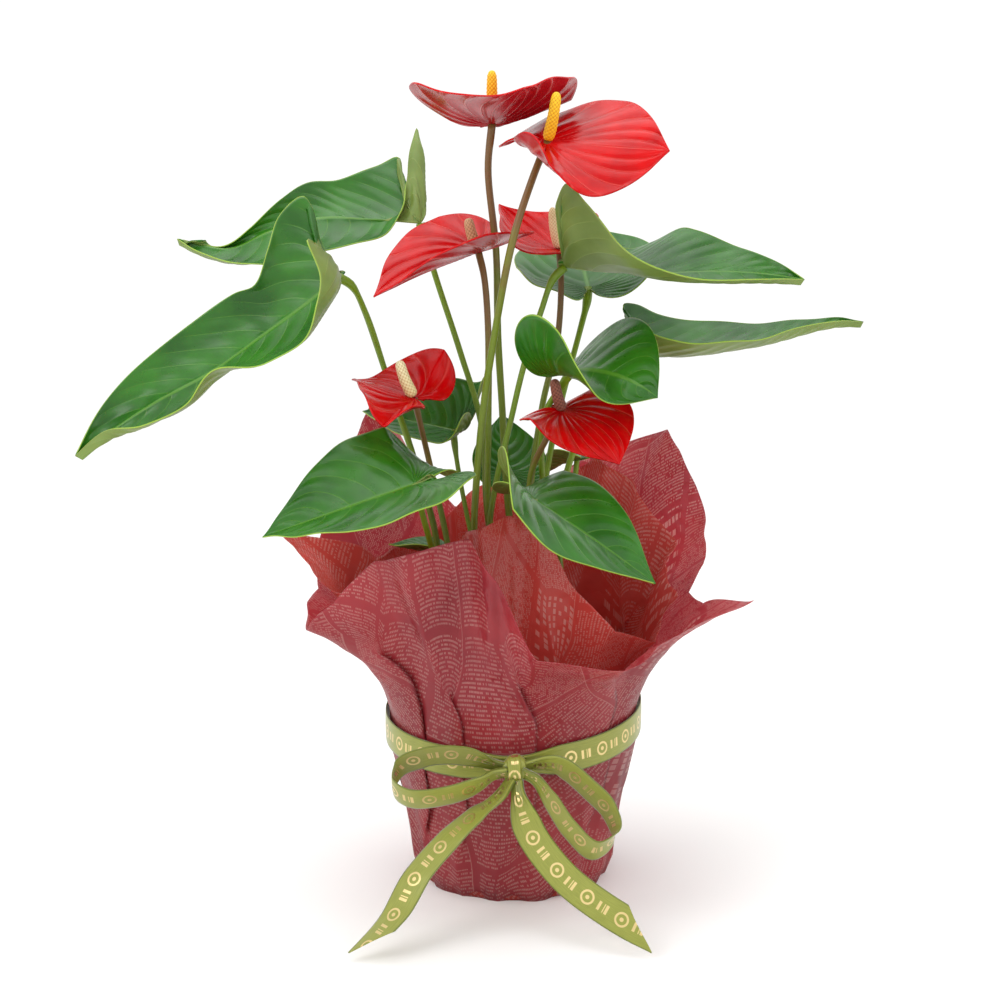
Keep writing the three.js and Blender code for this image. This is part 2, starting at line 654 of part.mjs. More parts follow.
/** Leaves, each with its stalk's crown, foot and bends, the joint at its top, and its blade. */
const LEAVES = [
  {
    crown: "left", foot: 175, stalkRadius: 1.8,
    bends: [[-40, -3, 78], [-52, -2, 122], [-59, 4, 142], [-67, 15, 164], [-76, 5, 194], [-82, -6, 208]],
    joint: [-88, -10, 212],
    drape: {
      midrib: [[-97, -14, 204], [-121, -22, 186], [-147, -30, 167], [-178, -38, 150]],
      left: [[-93, -22, 219], [-95, -34, 227], [-100, -40, 230], [-93, -46, 213], [-94, -58, 197],
        [-101, -64, 181], [-118, -64, 172], [-142, -60, 168], [-157, -56, 152], [-179, -52, 142],
        [-199, -48, 138]],
      right: [[-93, 0, 220], [-100, 10, 233], [-108, 18, 253], [-119, 8, 244], [-124, -4, 226],
        [-130, -12, 208], [-140, -14, 204], [-159, -16, 191], [-186, -24, 169], [-202, -32, 151]],
      tip: [-214, -45, 126],
      bow: [4, 4],
    },
  },
  {
    crown: "middle", foot: 130, stalkRadius: 1.8,
    bends: [[-14, 22, 90], [-17, 27, 135], [-28, 34, 172], [-42, 37, 215]],
    joint: [-49, 35, 240],
    drape: {
      midrib: [[-76, 38, 242], [-102, 40, 243], [-129, 38, 236], [-150, 36, 227]],
      left: [[-49, 48, 258], [-52, 66, 292], [-56, 52, 271], [-58, 36, 250], [-66, 22, 234],
        [-84, 14, 228], [-103, 10, 223], [-125, 10, 219], [-149, 16, 220], [-160, 22, 223]],
      right: [[-56, 44, 249], [-62, 56, 264], [-63, 66, 277], [-75, 62, 271], [-94, 56, 264],
        [-110, 52, 262], [-124, 46, 253], [-140, 40, 238], [-154, 36, 228]],
      tip: [-177, 34, 232],
      bow: [3, 3],
    },
  },
  {
    crown: "left", foot: 25, stalkRadius: 1.7,
    bends: [[-11, -8, 97], [-1, -9, 142], [5, -6, 167], [14, 1, 195], [20, 4, 211]],
    joint: [26, 5, 217],
    drape: {
      midrib: [[41, 0, 215], [60, -4, 214], [78, -6, 214], [99, -6, 215], [124, -6, 214]],
      left: [[30, 18, 225], [43, 30, 231], [62, 34, 227], [73, 34, 231], [88, 30, 238],
        [96, 26, 236], [112, 18, 229], [123, 8, 225], [135, 0, 219]],
      right: [[23, -4, 228], [21, -10, 248], [26, -14, 258], [35, -26, 248], [51, -38, 228],
        [63, -44, 219], [74, -46, 214], [88, -42, 211], [103, -34, 210], [119, -22, 211]],
      tip: [146, -8, 211],
      bow: [3, 3],
    },
  },
  {
    crown: "right", foot: 80, stalkRadius: 1.8,
    bends: [[15, 4, 90], [20, 20, 123], [26, 32, 148], [36, 47, 183], [40, 54, 198]],
    joint: [41, 58, 206],
    pose: { head: 95, pitch: 28, length: 75, half: 42, fold: [15, 25], lift: [10, 10] },
  },
  {
    crown: "right", foot: 30, stalkRadius: 1.8,
    bends: [[24, 2, 90], [33, 18, 125], [51, 28, 158]],
    joint: [67, 30, 171],
    drape: {
      midrib: [[90, 28, 172], [110, 26, 176], [127, 24, 179], [145, 24, 183], [167, 24, 189]],
      left: [[68, 44, 181], [62, 54, 191], [60, 60, 197], [68, 64, 197], [80, 66, 192],
        [94, 66, 189], [115, 62, 188], [135, 54, 187], [154, 44, 189], [171, 32, 191]],
      right: [[63, 16, 176], [57, 6, 187], [63, -2, 187], [76, -8, 181], [86, -10, 179],
        [99, -10, 179], [119, -6, 180], [140, 4, 184], [160, 14, 189]],
      tip: [183, 22, 189],
      bow: [3, 3],
    },
  },
  {
    crown: "right", foot: 330, stalkRadius: 1.7,
    bends: [[17, -9, 90], [14, -11, 124], [16, -18, 145], [22, -22.5, 156]],
    joint: [29, -30, 167],
    pose: {
      head: -22, pitch: 4, roll: 8, length: 46, half: 54, droop: 40, sweep: -5, twist: 38,
      fold: [2, -13], curl: [20, 105],
    },
  },
  {
    crown: "left", foot: 230, stalkRadius: 1.7,
    bends: [[-38, -34, 65], [-45, -50, 99]],
    joint: [-48, -56, 113],
    pose: {
      head: 195, pitch: -17, roll: -10, length: 77, half: 45, twist: -12,
      fold: [12, 28], curl: [-12, -5], lift: [0, -50],
    },
  },
  {
    crown: "right", foot: 270, stalkRadius: 1.7,
    bends: [[14, -40, 60], [8, -55, 92]],
    joint: [9, -58, 106],
    pose: {
      head: -15, pitch: -31, length: 71, half: 44, droop: 3, twist: 34,
      fold: [10, 20], curl: [7, -35], lift: [-30, 25],
    },
  },
  {
    crown: "middle", foot: 190, stalkRadius: 1.4,
    bends: [[-22, 18, 75], [-30, 28, 115]],
    joint: [-32, 31, 131],
    pose: { head: 165, pitch: 10, length: 52, half: 30, fold: [-10, 60], tuck: [60, 60] },
  },
  {
    crown: "middle", foot: 90, stalkRadius: 1.2,
    bends: [[-1, 32, 70], [-2, 38, 96]],
    joint: [-2, 40, 108],
    pose: { head: 100, pitch: 50, length: 38, half: 21, fold: [15, 15] },
  },
  {
    crown: "right", foot: 125, stalkRadius: 1.1,
    bends: [[21, 16, 60], [33, 41, 100]],
    joint: [35, 48, 113],
    pose: { head: 130, pitch: -10, length: 26, half: 16, droop: 20, fold: [20, 20] },
  },
  {
    crown: "left", foot: 130, stalkRadius: 1.1,
    bends: [[-38, 13, 50]],
    joint: [-41, 21, 66],
    pose: { head: 200, pitch: 14, length: 27, half: 17, fold: [15, 20] },
  },
];

/** Flowers, each with its stalk, the joint at its top, its spathe and its spadix. */
const FLOWERS = [
  {
    crown: "middle", foot: 300, stalkRadius: 2, ripeness: "spadixYellow",
    bends: [[-3, 8, 97], [-6, 8, 147], [-8, 7, 181], [-9, 4, 225], [-13, 2, 266]],
    joint: [-11, 1, 288],
    pose: {
      head: -72, pitch: 12, length: 56, half: 46, sweep: -5, twist: 20,
      fold: [10, 10], curl: [16, 28], lift: [20, 0],
    },
    spadix: { head: 270, pitch: 75, length: 24, radius: 3 },
  },
  {
    crown: "left", foot: 330, stalkRadius: 2, ripeness: "spadixYellow",
    bends: [[-20, -17, 91], [-15, -20, 149], [-10, -28, 182], [-1, -39, 229], [9, -34, 260]],
    joint: [16, -27, 277],
    pose: {
      head: 0, pitch: -5, roll: 15, length: 60, half: 52, sweep: -28, twist: 34,
      fold: [8, -19], curl: [-8, 35], lift: [-12, 12],
    },
    spadix: { head: 290, pitch: 62, length: 23, radius: 3 },
  },
  {
    crown: "middle", foot: 250, stalkRadius: 1.9, ripeness: "spadixTan",
    bends: [[-13, 2, 94], [-13, -3, 134], [-13, -5, 185], [-15, -4, 212]],
    joint: [-18, -1, 225],
    pose: {
      head: 210, pitch: -18, roll: -10, length: 63, half: 37, droop: 6, twist: 12,
      fold: [18, 23], curl: [14, 0], lift: [-4, -8],
    },
    spadix: { head: 212, pitch: 70, length: 15, radius: 3 },
  },
  {
    crown: "right", foot: 180, stalkRadius: 1.8, ripeness: "spadixCream",
    bends: [[8, 2, 90], [15, 14, 145], [23, 22, 179], [25, 26, 210]],
    joint: [24, 28, 226],
    pose: { head: 147, pitch: 13, roll: -13, length: 45, half: 34, droop: -40, twist: 13, fold: [12, 25] },
    spadix: { head: 200, pitch: 80, length: 20, radius: 2.6 },
  },
  {
    crown: "left", foot: 280, stalkRadius: 1.7, ripeness: "spadixCream",
    bends: [[-34, -13, 78], [-42, -6, 113], [-47, -13, 137]],
    joint: [-50, -19, 152],
    pose: {
      head: 163, pitch: 19, roll: -5, length: 34, half: 35, droop: 8, sweep: 7, twist: 25,
      fold: [-8, 16], curl: [-15, 50], lift: [33, -28],
    },
    spadix: { head: 200, pitch: 68, length: 18, radius: 3.1 },
  },
  {
    crown: "right", foot: 220, stalkRadius: 1.7, ripeness: "spadixBrown",
    bends: [[8, -13, 90], [9, -14, 114], [17, -22, 133]],
    joint: [24, -24, 146],
    pose: {
      head: -27, pitch: -18, roll: 12, length: 41, half: 36, droop: 39, sweep: -11, twist: 14,
      fold: [6, 0], curl: [-4, 19], lift: [-24, -8],
    },
    spadix: { head: 240, pitch: 62, length: 16, radius: 3 },
  },
];

/** Papery sheaths that clasp nothing any more: each stands in its crown beside the stalks. */
const SHEATHS = [
  { crown: "left", foot: 78, top: [-25, 6, 52], radius: 2.2 },
  { crown: "middle", foot: 20, top: [11, 17, 58], radius: 2 },
  { crown: "right", foot: 300, top: [27, -29, 46], radius: 2 },
];

LEAVES.forEach((leaf, i) => {
  const name = `leaf_${i + 1}`;
  add(`${name}_blade`, blade(leaf, LEAF), MATERIALS.leaf, shoots);
  add(`${name}_petiole`, stalk(leaf), MATERIALS.petiole, shoots);
});
FLOWERS.forEach((flower, i) => {
  const name = `flower_${i + 1}`;
  add(`${name}_spathe`, blade(flower, SPATHE), MATERIALS.spathe, shoots);
  add(`${name}_peduncle`, stalk(flower), MATERIALS.peduncle, shoots);
  add(`${name}_spadix`, spadix(flower), MATERIALS[flower.ripeness], shoots);
});

SHEATHS.forEach((spec, i) => {
  add(`sheath_${i + 1}`, sheath(spec), MATERIALS.sheath, shoots);
});

export default plant;
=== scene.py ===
"""A potted anthurium, gathered in printed wrapping film and tied with a satin ribbon bow.

Lengths in the tables and shape functions are millimetres in the model's own frame: +Z up, the
front of the gift wrap towards -Y, and the ground under the middle of the pot at the origin. Every
surface is a grid of points worked out with numpy and turned to metres as its mesh is made.
"""

import bmesh
import bpy
import numpy as np
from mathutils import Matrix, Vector


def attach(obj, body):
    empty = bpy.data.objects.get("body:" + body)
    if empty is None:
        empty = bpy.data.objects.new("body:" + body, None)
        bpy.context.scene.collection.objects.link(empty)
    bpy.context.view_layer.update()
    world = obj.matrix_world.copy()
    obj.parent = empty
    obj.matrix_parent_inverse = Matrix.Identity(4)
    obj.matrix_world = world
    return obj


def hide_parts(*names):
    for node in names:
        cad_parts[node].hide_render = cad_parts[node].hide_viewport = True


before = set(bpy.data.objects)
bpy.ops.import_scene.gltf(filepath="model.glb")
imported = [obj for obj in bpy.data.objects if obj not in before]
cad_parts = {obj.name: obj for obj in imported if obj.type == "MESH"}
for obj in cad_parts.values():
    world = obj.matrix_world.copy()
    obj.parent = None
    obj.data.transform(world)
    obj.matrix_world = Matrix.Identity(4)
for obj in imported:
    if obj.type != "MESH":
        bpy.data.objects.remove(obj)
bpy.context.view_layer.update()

MM = 0.001
TAU = 2 * np.pi

# ---------------------------------------------------------------- driving dimensions

CLEAR = 0.3  # gap that pieces keep where they touch
FILM = 0.5  # room that each sheet of film takes between the floor and the pot
POT_BASE, POT_RIM, POT_HEIGHT, POT_WALL, POT_LIP = 44.0, 60.0, 108.0, 1.2, 2.5
POT_FLOOR = 2 * FILM + 2 * CLEAR
MIX_TOP = POT_FLOOR + POT_HEIGHT - 10
CROWN_HEIGHT = 8.0
STALK_BASE = MIX_TOP + CROWN_HEIGHT + 2 * CLEAR
HUB = 2.4  # radius of the joint between a stalk and its blade
TIE_RADIUS, TIE_HEIGHT, TIE_RISE, TIE_LEAN = 66.0, 84.0, 7.0, 3.0
SLEEVE = 9.0  # film that stays upright above and below the middle of the ribbon
RIBBON_WIDTH, RIBBON_THICK = 15.0, 0.5
OUTER_SQUARE, INNER_SQUARE = 400.0, 350.0  # the two sheets of film before they are gathered
KNOT = np.array([0.0, -(TIE_RADIUS + 2 * CLEAR + 1 + 5.5), TIE_HEIGHT - TIE_RISE])

# ---------------------------------------------------------------- camera and light


def linear(hex_colour):
    """Turns an sRGB hex colour into linear red, green and blue."""
    value = np.array([int(hex_colour[i : i + 2], 16) for i in (1, 3, 5)]) / 255
    return np.where(value <= 0.04045, value / 12.92, ((value + 0.055) / 1.055) ** 2.4)


def make_camera():
    """A camera just above the flowers that looks down 8 degrees, with a 57.6 mm lens."""
    data = bpy.data.cameras.new("camera")
    data.lens = 57.6
    data.sensor_width = 36
    camera = bpy.data.objects.new("camera", data)
    camera.location = Vector((-7, -820, 313)) * MM
    camera.rotation_euler = (np.radians(90 - 8), 0, 0)
    bpy.context.collection.objects.link(camera)
    bpy.context.scene.camera = camera


def make_light(name, place, size, power):
    """A square soft box at a place in millimetres, aimed at the middle of the plant."""
    data = bpy.data.lights.new(name, "AREA")
    data.size = size * MM
    data.energy = power
    lamp = bpy.data.objects.new(name, data)
    lamp.location = Vector(place) * MM
    aim = Vector((0, 0, 0.2)) - lamp.location
    lamp.rotation_euler = aim.to_track_quat("-Z", "Y").to_euler()
    bpy.context.collection.objects.link(lamp)


def make_studio():
    """A white room: an even pale sky, one big soft box overhead and two at the sides."""
    world = bpy.data.worlds.new("studio")
    world.use_nodes = True
    sky = world.node_tree.nodes["Background"]
    sky.inputs["Color"].default_value = (1, 1, 1, 1)
    sky.inputs["Strength"].default_value = 1.05
    bpy.context.scene.world = world
    make_light("overhead", (-100, 100, 1300), 900, 4)
    make_light("key", (-900, -800, 900), 700, 5)
    make_light("fill", (900, -700, 500), 900, 2)
    bpy.context.scene.view_settings.view_transform = "Standard"


make_camera()
make_studio()

# ---------------------------------------------------------------- nodes and materials


def put(tree, kind, inputs=None, **settings):
    """Adds a node. Each input, by name or number, gets a value, a node's first output or a socket."""
    node = tree.nodes.new("ShaderNode" + kind)
    for key, value in settings.items():
        setattr(node, key, value)
    for key, value in (inputs or {}).items():
        socket = node.inputs[key]
        if isinstance(value, bpy.types.Node):
            tree.links.new(value.outputs[0], socket)
        elif isinstance(value, bpy.types.NodeSocket):
            tree.links.new(value, socket)
        elif socket.type == "RGBA" and isinstance(value, str):
            socket.default_value = (*linear(value), 1)
        else:
            socket.default_value = value
    return node


def new_material(name):
    """An empty material and its node tree."""
    material = bpy.data.materials.new(name)
    material.use_nodes = True
    tree = material.node_tree
    tree.nodes.clear()
    return material, tree


def finish_material(tree, shader):
    """Links a shader to a new surface output."""
    put(tree, "OutputMaterial", {"Surface": shader})


def grain(tree, size, detail=2.0, rough=0.5):
    """Soft three-dimensional noise on object coordinates whose lumps are size millimetres across."""
    place = put(tree, "TexCoord").outputs["Object"]
    inputs = {"Vector": place, "Scale": 1000 / size, "Detail": detail, "Roughness": rough}
    return put(tree, "TexNoise", inputs)


def blend_colours(tree, factor, first, second):
    """First colour where the factor is 0 and second where it is 1."""
    return put(tree, "Mix", {0: factor, 6: first, 7: second}, data_type="RGBA").outputs[2]


def line_mask(tree, phase, width):
    """1 on lines where phase is a whole number, fading to 0 at width of a phase either side."""
    fold = put(tree, "Math", {0: phase}, operation="FRACT")
    fold = put(tree, "Math", {0: fold, 1: 0.5}, operation="SUBTRACT")
    fold = put(tree, "Math", {0: fold}, operation="ABSOLUTE")
    ramp = {"Value": fold, "From Min": 0.5 - width, "From Max": 0.5, "To Min": 0.0, "To Max": 1.0}
    return put(tree, "MapRange", ramp, interpolation_type="SMOOTHSTEP")


def blade_coordinates(tree):
    """Where a point is on its blade: along from notch to tip, and across from midrib to margin."""
    uv = put(tree, "UVMap", uv_map="blade")
    split = put(tree, "SeparateXYZ", {0: uv})
    return split.outputs[0], split.outputs[1]


def leaf_surface(name, lamina, dark, vein_tint_and_highlight, margin, gloss, raised):
    """A living leaf face: mottled green, paler veins that stand up or sink in, a pale margin.

    Side veins leave the midrib at whole steps of the along coordinate and sweep towards the tip as
    the across coordinate grows; a collecting vein runs just inside the margin.
    """
    material, tree = new_material(name)
    along, across = blade_coordinates(tree)
    bent = put(tree, "Math", {0: across, 1: 1.5}, operation="POWER")
    bent = put(tree, "Math", {0: bent, 1: -2.6}, operation="MULTIPLY")
    phase = put(tree, "Math", {0: along, 1: 17.0, 2: bent}, operation="MULTIPLY_ADD")
    side = line_mask(tree, phase, 0.05)
    keep = {"Value": across, "From Min": 0.8, "From Max": 0.95, "To Min": 0.65, "To Max": 0.0}
    side = put(tree, "Math", {0: side, 1: put(tree, "MapRange", keep)}, operation="MULTIPLY")
    rib = {"Value": across, "From Min": 0.012, "From Max": 0.05, "To Min": 1.0, "To Max": 0.0}
    rib = put(tree, "MapRange", rib, interpolation_type="SMOOTHSTEP")
    veins = put(tree, "Math", {0: side, 1: rib}, operation="MAXIMUM")
    blotch = grain(tree, 22, 3.0)
    blotch = put(tree, "MapRange", {"Value": blotch, "From Min": 0.35, "From Max": 0.65})
    colour = blend_colours(tree, blotch, dark, lamina)
    faint = put(tree, "Math", {0: veins, 1: 0.6}, operation="MULTIPLY")
    colour = blend_colours(tree, faint, colour, vein_tint_and_highlight)
    edge = {"Value": across, "From Min": 0.988, "From Max": 1.0, "To Min": 0.0, "To Max": 1.0}
    colour = blend_colours(tree, put(tree, "MapRange", edge), colour, margin)
    pores = grain(tree, 0.8, 2.0)
    cells = put(tree, "Math", {0: pores, 1: 0.12}, operation="MULTIPLY")
    height = put(tree, "Math", {0: veins, 1: raised, 2: cells}, operation="MULTIPLY_ADD")
    bump = put(tree, "Bump", {"Height": height, "Strength": 0.35, "Distance": 0.0006})
    sheen = grain(tree, 9, 3.0)
    rough = {"Value": sheen, "To Min": gloss - 0.05, "To Max": gloss + 0.1}
    inputs = {
        "Base Color": colour,
        "Roughness": put(tree, "MapRange", rough),
        "Normal": bump,
        "IOR": 1.45,
        "Subsurface Weight": 0.08,
        "Subsurface Scale": 0.002,
    }
    finish_material(tree, put(tree, "BsdfPrincipled", inputs))
    return material


def spathe_surface(name, deep, bright, vein_tint_and_highlight, gloss, raised):
    """A waxy spathe face: saturated red, a paler painted highlight along the arching veins and a clear wax
    coat.

    Veins are whole steps of the arch coordinate, the bend of the circle through joint and tip.
    """
    material, tree = new_material(name)
    arch = put(tree, "SeparateXYZ", {0: put(tree, "UVMap", uv_map="arches")}).outputs[0]
    veins = line_mask(tree, arch, 0.09)
    blotch = put(tree, "MapRange", {"Value": grain(tree, 14, 3.0), "From Min": 0.3, "From Max": 0.7})
    colour = blend_colours(tree, blotch, deep, bright)
    # painted highlight: a paler colour along the veins stands in for the gloss on them
    faint = put(tree, "Math", {0: veins, 1: 0.45}, operation="MULTIPLY")
    colour = blend_colours(tree, faint, colour, vein_tint_and_highlight)
    cells = put(tree, "Math", {0: grain(tree, 0.9, 1.0), 1: 0.1}, operation="MULTIPLY")
    height = put(tree, "Math", {0: veins, 1: raised, 2: cells}, operation="MULTIPLY_ADD")
    bump = put(tree, "Bump", {"Height": height, "Strength": 0.4, "Distance": 0.0007})
    inputs = {
        "Base Color": colour,
        "Roughness": gloss,
        "Normal": bump,
        "Specular IOR Level": 0.16,
        "Coat Weight": 0.05,
        "Coat Roughness": 0.08,
        "Subsurface Weight": 0.1,
        "Subsurface Scale": 0.002,
    }
    finish_material(tree, put(tree, "BsdfPrincipled", inputs))
    return material


def stalk_surface(name, base, top, turn):
    """A smooth stalk: its base colour gives way to its top colour past a share of its length."""
    material, tree = new_material(name)
    along = put(tree, "SeparateXYZ", {0: put(tree, "UVMap", uv_map="stalk")}).outputs[0]
    wander = put(tree, "Math", {0: grain(tree, 12, 2.0), 1: 0.25, 2: along}, operation="MULTIPLY_ADD")
    share = {"Value": wander, "From Min": turn + 0.02, "From Max": turn + 0.28}
    change = put(tree, "MapRange", share, interpolation_type="SMOOTHSTEP")
    colour = blend_colours(tree, change, base, top)
    speck = put(tree, "MapRange", {"Value": grain(tree, 1.5, 3.0), "From Min": 0.4, "From Max": 0.75})
    faint = put(tree, "Math", {0: speck, 1: 0.3}, operation="MULTIPLY")
    colour = blend_colours(tree, faint, colour, "#5c6420")
    bump = put(tree, "Bump", {"Height": grain(tree, 0.7, 2.0), "Strength": 0.15, "Distance": 0.0004})
    inputs = {"Base Color": colour, "Roughness": 0.38, "Normal": bump, "IOR": 1.45}
    finish_material(tree, put(tree, "BsdfPrincipled", inputs))
    return material


def spadix_surface(name, low, high, seam_shade):
    """A spadix: tiny packed flowers with painted shade in the seams between them, changing up its length."""
    material, tree = new_material(name)
    uv = put(tree, "SeparateXYZ", {0: put(tree, "UVMap", uv_map="stalk")})
    colour = blend_colours(tree, uv.outputs[0], low, high)
    # painted shade: the colour darkens towards the seam shade colour between the flowers
    seam_shade_mask = put(tree, "MapRange", {"Value": uv.outputs[1], "From Min": 0.15, "From Max": 0.6})
    colour = blend_colours(tree, seam_shade_mask, seam_shade, colour)
    bump = put(tree, "Bump", {"Height": grain(tree, 0.6, 2.0), "Strength": 0.3, "Distance": 0.0003})
    inputs = {"Base Color": colour, "Roughness": 0.55, "Normal": bump, "IOR": 1.42}
    finish_material(tree, put(tree, "BsdfPrincipled", inputs))
    return material


def print_marks(tree, x, y, pitch, mark):
    """Rows of short illegible marks: pitch between rows and mark for the width of one, in mm.

    A mark shows where a random number for its cell passes a limit, over part of the cell's width
    and of the row's height, and every few cells one is left out as between words.
    """
    row = put(tree, "Math", {0: y, 1: 1 / pitch}, operation="MULTIPLY")
    cell = put(tree, "Math", {0: x, 1: 1 / mark}, operation="MULTIPLY")
    cell_key, row_key = [put(tree, "Math", {0: value}, operation="FLOOR") for value in (cell, row)]
    cell_part, row_part = [put(tree, "Math", {0: value}, operation="FRACT") for value in (cell, row)]
    key = put(tree, "CombineXYZ", {0: cell_key, 1: row_key})
    chance = put(tree, "TexWhiteNoise", {"Vector": key}, noise_dimensions="2D").outputs["Value"]
    shown = put(tree, "Math", {0: chance, 1: 0.24}, operation="GREATER_THAN")
    in_row = put(tree, "Math", {0: row_part, 1: 0.48}, operation="LESS_THAN")
    width = put(tree, "Math", {0: chance, 1: 0.35, 2: 0.5}, operation="MULTIPLY_ADD")
    in_cell = put(tree, "Math", {0: cell_part, 1: width}, operation="LESS_THAN")
    both = put(tree, "Math", {0: in_row, 1: in_cell}, operation="MULTIPLY")
    return put(tree, "Math", {0: both, 1: shown}, operation="MULTIPLY")


def page_print(tree, x, y):
    """Where ink lies on the flat film: blocks of small or large marks, a few blank, and thin rules.

    Blocks are 42 mm wide and 64 mm tall with a gap between them; rules run 126 and 128 mm apart.
    """
    column = put(tree, "Math", {0: x, 1: 1 / 42}, operation="MULTIPLY")
    block = put(tree, "Math", {0: y, 1: 1 / 64}, operation="MULTIPLY")
    keys = [put(tree, "Math", {0: value}, operation="FLOOR") for value in (column, block)]
    parts = [put(tree, "Math", {0: value}, operation="FRACT") for value in (column, block)]
    key = put(tree, "CombineXYZ", {0: keys[0], 1: keys[1]})
    kind = put(tree, "TexWhiteNoise", {"Vector": key}, noise_dimensions="2D").outputs["Value"]
    is_large = put(tree, "Math", {0: kind, 1: 0.9}, operation="GREATER_THAN")
    is_blank = put(tree, "Math", {0: kind, 1: 0.05}, operation="LESS_THAN")
    small = print_marks(tree, x, y, 2.3, 1.0)
    large = print_marks(tree, x, y, 8.5, 3.4)
    marks = put(tree, "Mix", {0: is_large, 2: small, 3: large}, data_type="FLOAT").outputs[0]
    marks = put(tree, "Math", {0: marks, 1: is_blank}, operation="SUBTRACT", use_clamp=True)
    for part, share in zip(parts, (0.9, 0.94)):
        inside = put(tree, "Math", {0: part, 1: share}, operation="LESS_THAN")
        marks = put(tree, "Math", {0: marks, 1: inside}, operation="MULTIPLY")
    for place, spacing, shift in ((x, 126, 0.035), (y, 128, 0.03)):
        phase = put(tree, "Math", {0: place, 1: 1 / spacing, 2: shift}, operation="MULTIPLY_ADD")
        marks = put(tree, "Math", {0: marks, 1: line_mask(tree, phase, 0.004)}, operation="MAXIMUM")
    return marks


def film_surface(name, tint, shade, ink, milky, turn):
    """Thin translucent polypropylene film with a satin face, printed with rows of illegible marks.

    It lets some light straight through, glows where lit from behind, and deepens where layers lie
    over each other. The print is laid out on the flat sheet, turned by an angle in degrees.
    """
    material, tree = new_material(name)
    flat = put(tree, "UVMap", uv_map="flat")
    turned_print = put(tree, "Mapping", {"Vector": flat, "Rotation": (0, 0, np.radians(turn))})
    place = put(tree, "SeparateXYZ", {0: turned_print})
    marks = page_print(tree, place.outputs[0], place.outputs[1])
    worn = put(tree, "MapRange", {"Value": grain(tree, 18, 2.0), "To Min": 0.2, "To Max": 0.6})
    printed = put(tree, "Math", {0: marks, 1: worn}, operation="MULTIPLY")
    mottle = put(tree, "MapRange", {"Value": grain(tree, 45, 3.0), "From Min": 0.3, "From Max": 0.7})
    colour = blend_colours(tree, mottle, shade, tint)
    colour = blend_colours(tree, printed, colour, ink)
    ridges = put(tree, "Math", {0: grain(tree, 13, 2.0), 1: -0.5}, operation="ADD")
    ridges = put(tree, "Math", {0: ridges}, operation="ABSOLUTE")
    crumple = put(tree, "Bump", {"Height": ridges, "Strength": 0.5, "Distance": 0.004})
    inputs = {
        "Base Color": colour,
        "Roughness": 0.3,
        "Normal": crumple,
        "IOR": 1.49,
        "Coat Weight": 0.35,
        "Coat Roughness": 0.22,
        "Coat Normal": crumple,
    }
    face = put(tree, "BsdfPrincipled", inputs)
    lit = put(tree, "Gamma", {0: colour, 1: 0.55})
    glow = put(tree, "BsdfTranslucent", {"Color": lit})
    body = put(tree, "MixShader", {0: milky, 1: face, 2: glow})
    clear = put(tree, "BsdfTransparent", {"Color": lit})
    finish_material(tree, put(tree, "MixShader", {0: 0.2, 1: body, 2: clear}))
    return material


def ribbon_surface():
    """Polyester satin ribbon, olive, with a woven edge and a repeat of small gold foil rings.

    Satin's long warp floats give a soft streaky sheen along the ribbon, painted into its colour as paler and
    darker streaks; the foil is metallic.
    """
    material, tree = new_material("satin_ribbon")
    uv = put(tree, "SeparateXYZ", {0: put(tree, "UVMap", uv_map="strip")})
    along, across = uv.outputs[0], uv.outputs[1]
    from_middle = put(tree, "Math", {0: across}, operation="ABSOLUTE")
    repeat = put(tree, "Math", {0: along, 1: 1 / 19}, operation="MULTIPLY")
    place = put(tree, "Math", {0: repeat}, operation="FRACT")
    place = put(tree, "Math", {0: place, 1: -0.5}, operation="ADD")
    place = put(tree, "Math", {0: place, 1: 19.0}, operation="MULTIPLY")
    spot = put(tree, "CombineXYZ", {0: place, 1: across})
    reach = put(tree, "VectorMath", {0: spot}, operation="LENGTH").outputs["Value"]
    ring = put(tree, "Math", {0: reach, 1: 3.0}, operation="SUBTRACT")
    ring = put(tree, "Math", {0: ring}, operation="ABSOLUTE")
    ring = put(tree, "Math", {0: ring, 1: 0.5}, operation="LESS_THAN")
    bead = put(tree, "Math", {0: reach, 1: 1.0}, operation="LESS_THAN")
    bars = put(tree, "Math", {0: place, 1: 2.1}, operation="MULTIPLY")
    bars = put(tree, "Math", {0: bars}, operation="SINE")
    bars = put(tree, "Math", {0: bars, 1: 0.1}, operation="GREATER_THAN")
    beside = put(tree, "Math", {0: place}, operation="ABSOLUTE")
    beside = put(tree, "Math", {0: beside, 1: 6.0}, operation="GREATER_THAN")
    short = put(tree, "Math", {0: from_middle, 1: 2.2}, operation="LESS_THAN")
    for limit in (beside, short):
        bars = put(tree, "Math", {0: bars, 1: limit}, operation="MULTIPLY")
    foil = ring
    for shape in (bead, bars):
        foil = put(tree, "Math", {0: foil, 1: shape}, operation="MAXIMUM")
    # painted sheen: noise stretched along the ribbon blends a darker and a paler olive
    stretched = put(tree, "Math", {0: along, 1: 0.05}, operation="MULTIPLY")
    painted_sheen_streak = put(tree, "CombineXYZ", {0: stretched, 1: across})
    painted_sheen_streak = put(tree, "TexNoise", {"Vector": painted_sheen_streak, "Scale": 3.0, "Detail": 2.0})
    cloth = blend_colours(tree, painted_sheen_streak, "#727822", "#9ea245")
    selvedge = put(tree, "Math", {0: from_middle, 1: 6.9}, operation="GREATER_THAN")
    cloth = blend_colours(tree, selvedge, cloth, "#6d762a")
    colour = blend_colours(tree, foil, cloth, "#dcc58a")
    weave = put(tree, "Math", {0: across, 1: 9.0}, operation="MULTIPLY")
    weave = put(tree, "Math", {0: weave}, operation="SINE")
    bump = put(tree, "Bump", {"Height": weave, "Strength": 0.12, "Distance": 0.0002})
    inputs = {
        "Base Color": colour,
        "Metallic": foil,
        "Roughness": 0.36,
        "Normal": bump,
        "Sheen Weight": 0.4,
        "Sheen Roughness": 0.3,
    }
    finish_material(tree, put(tree, "BsdfPrincipled", inputs))
    return material


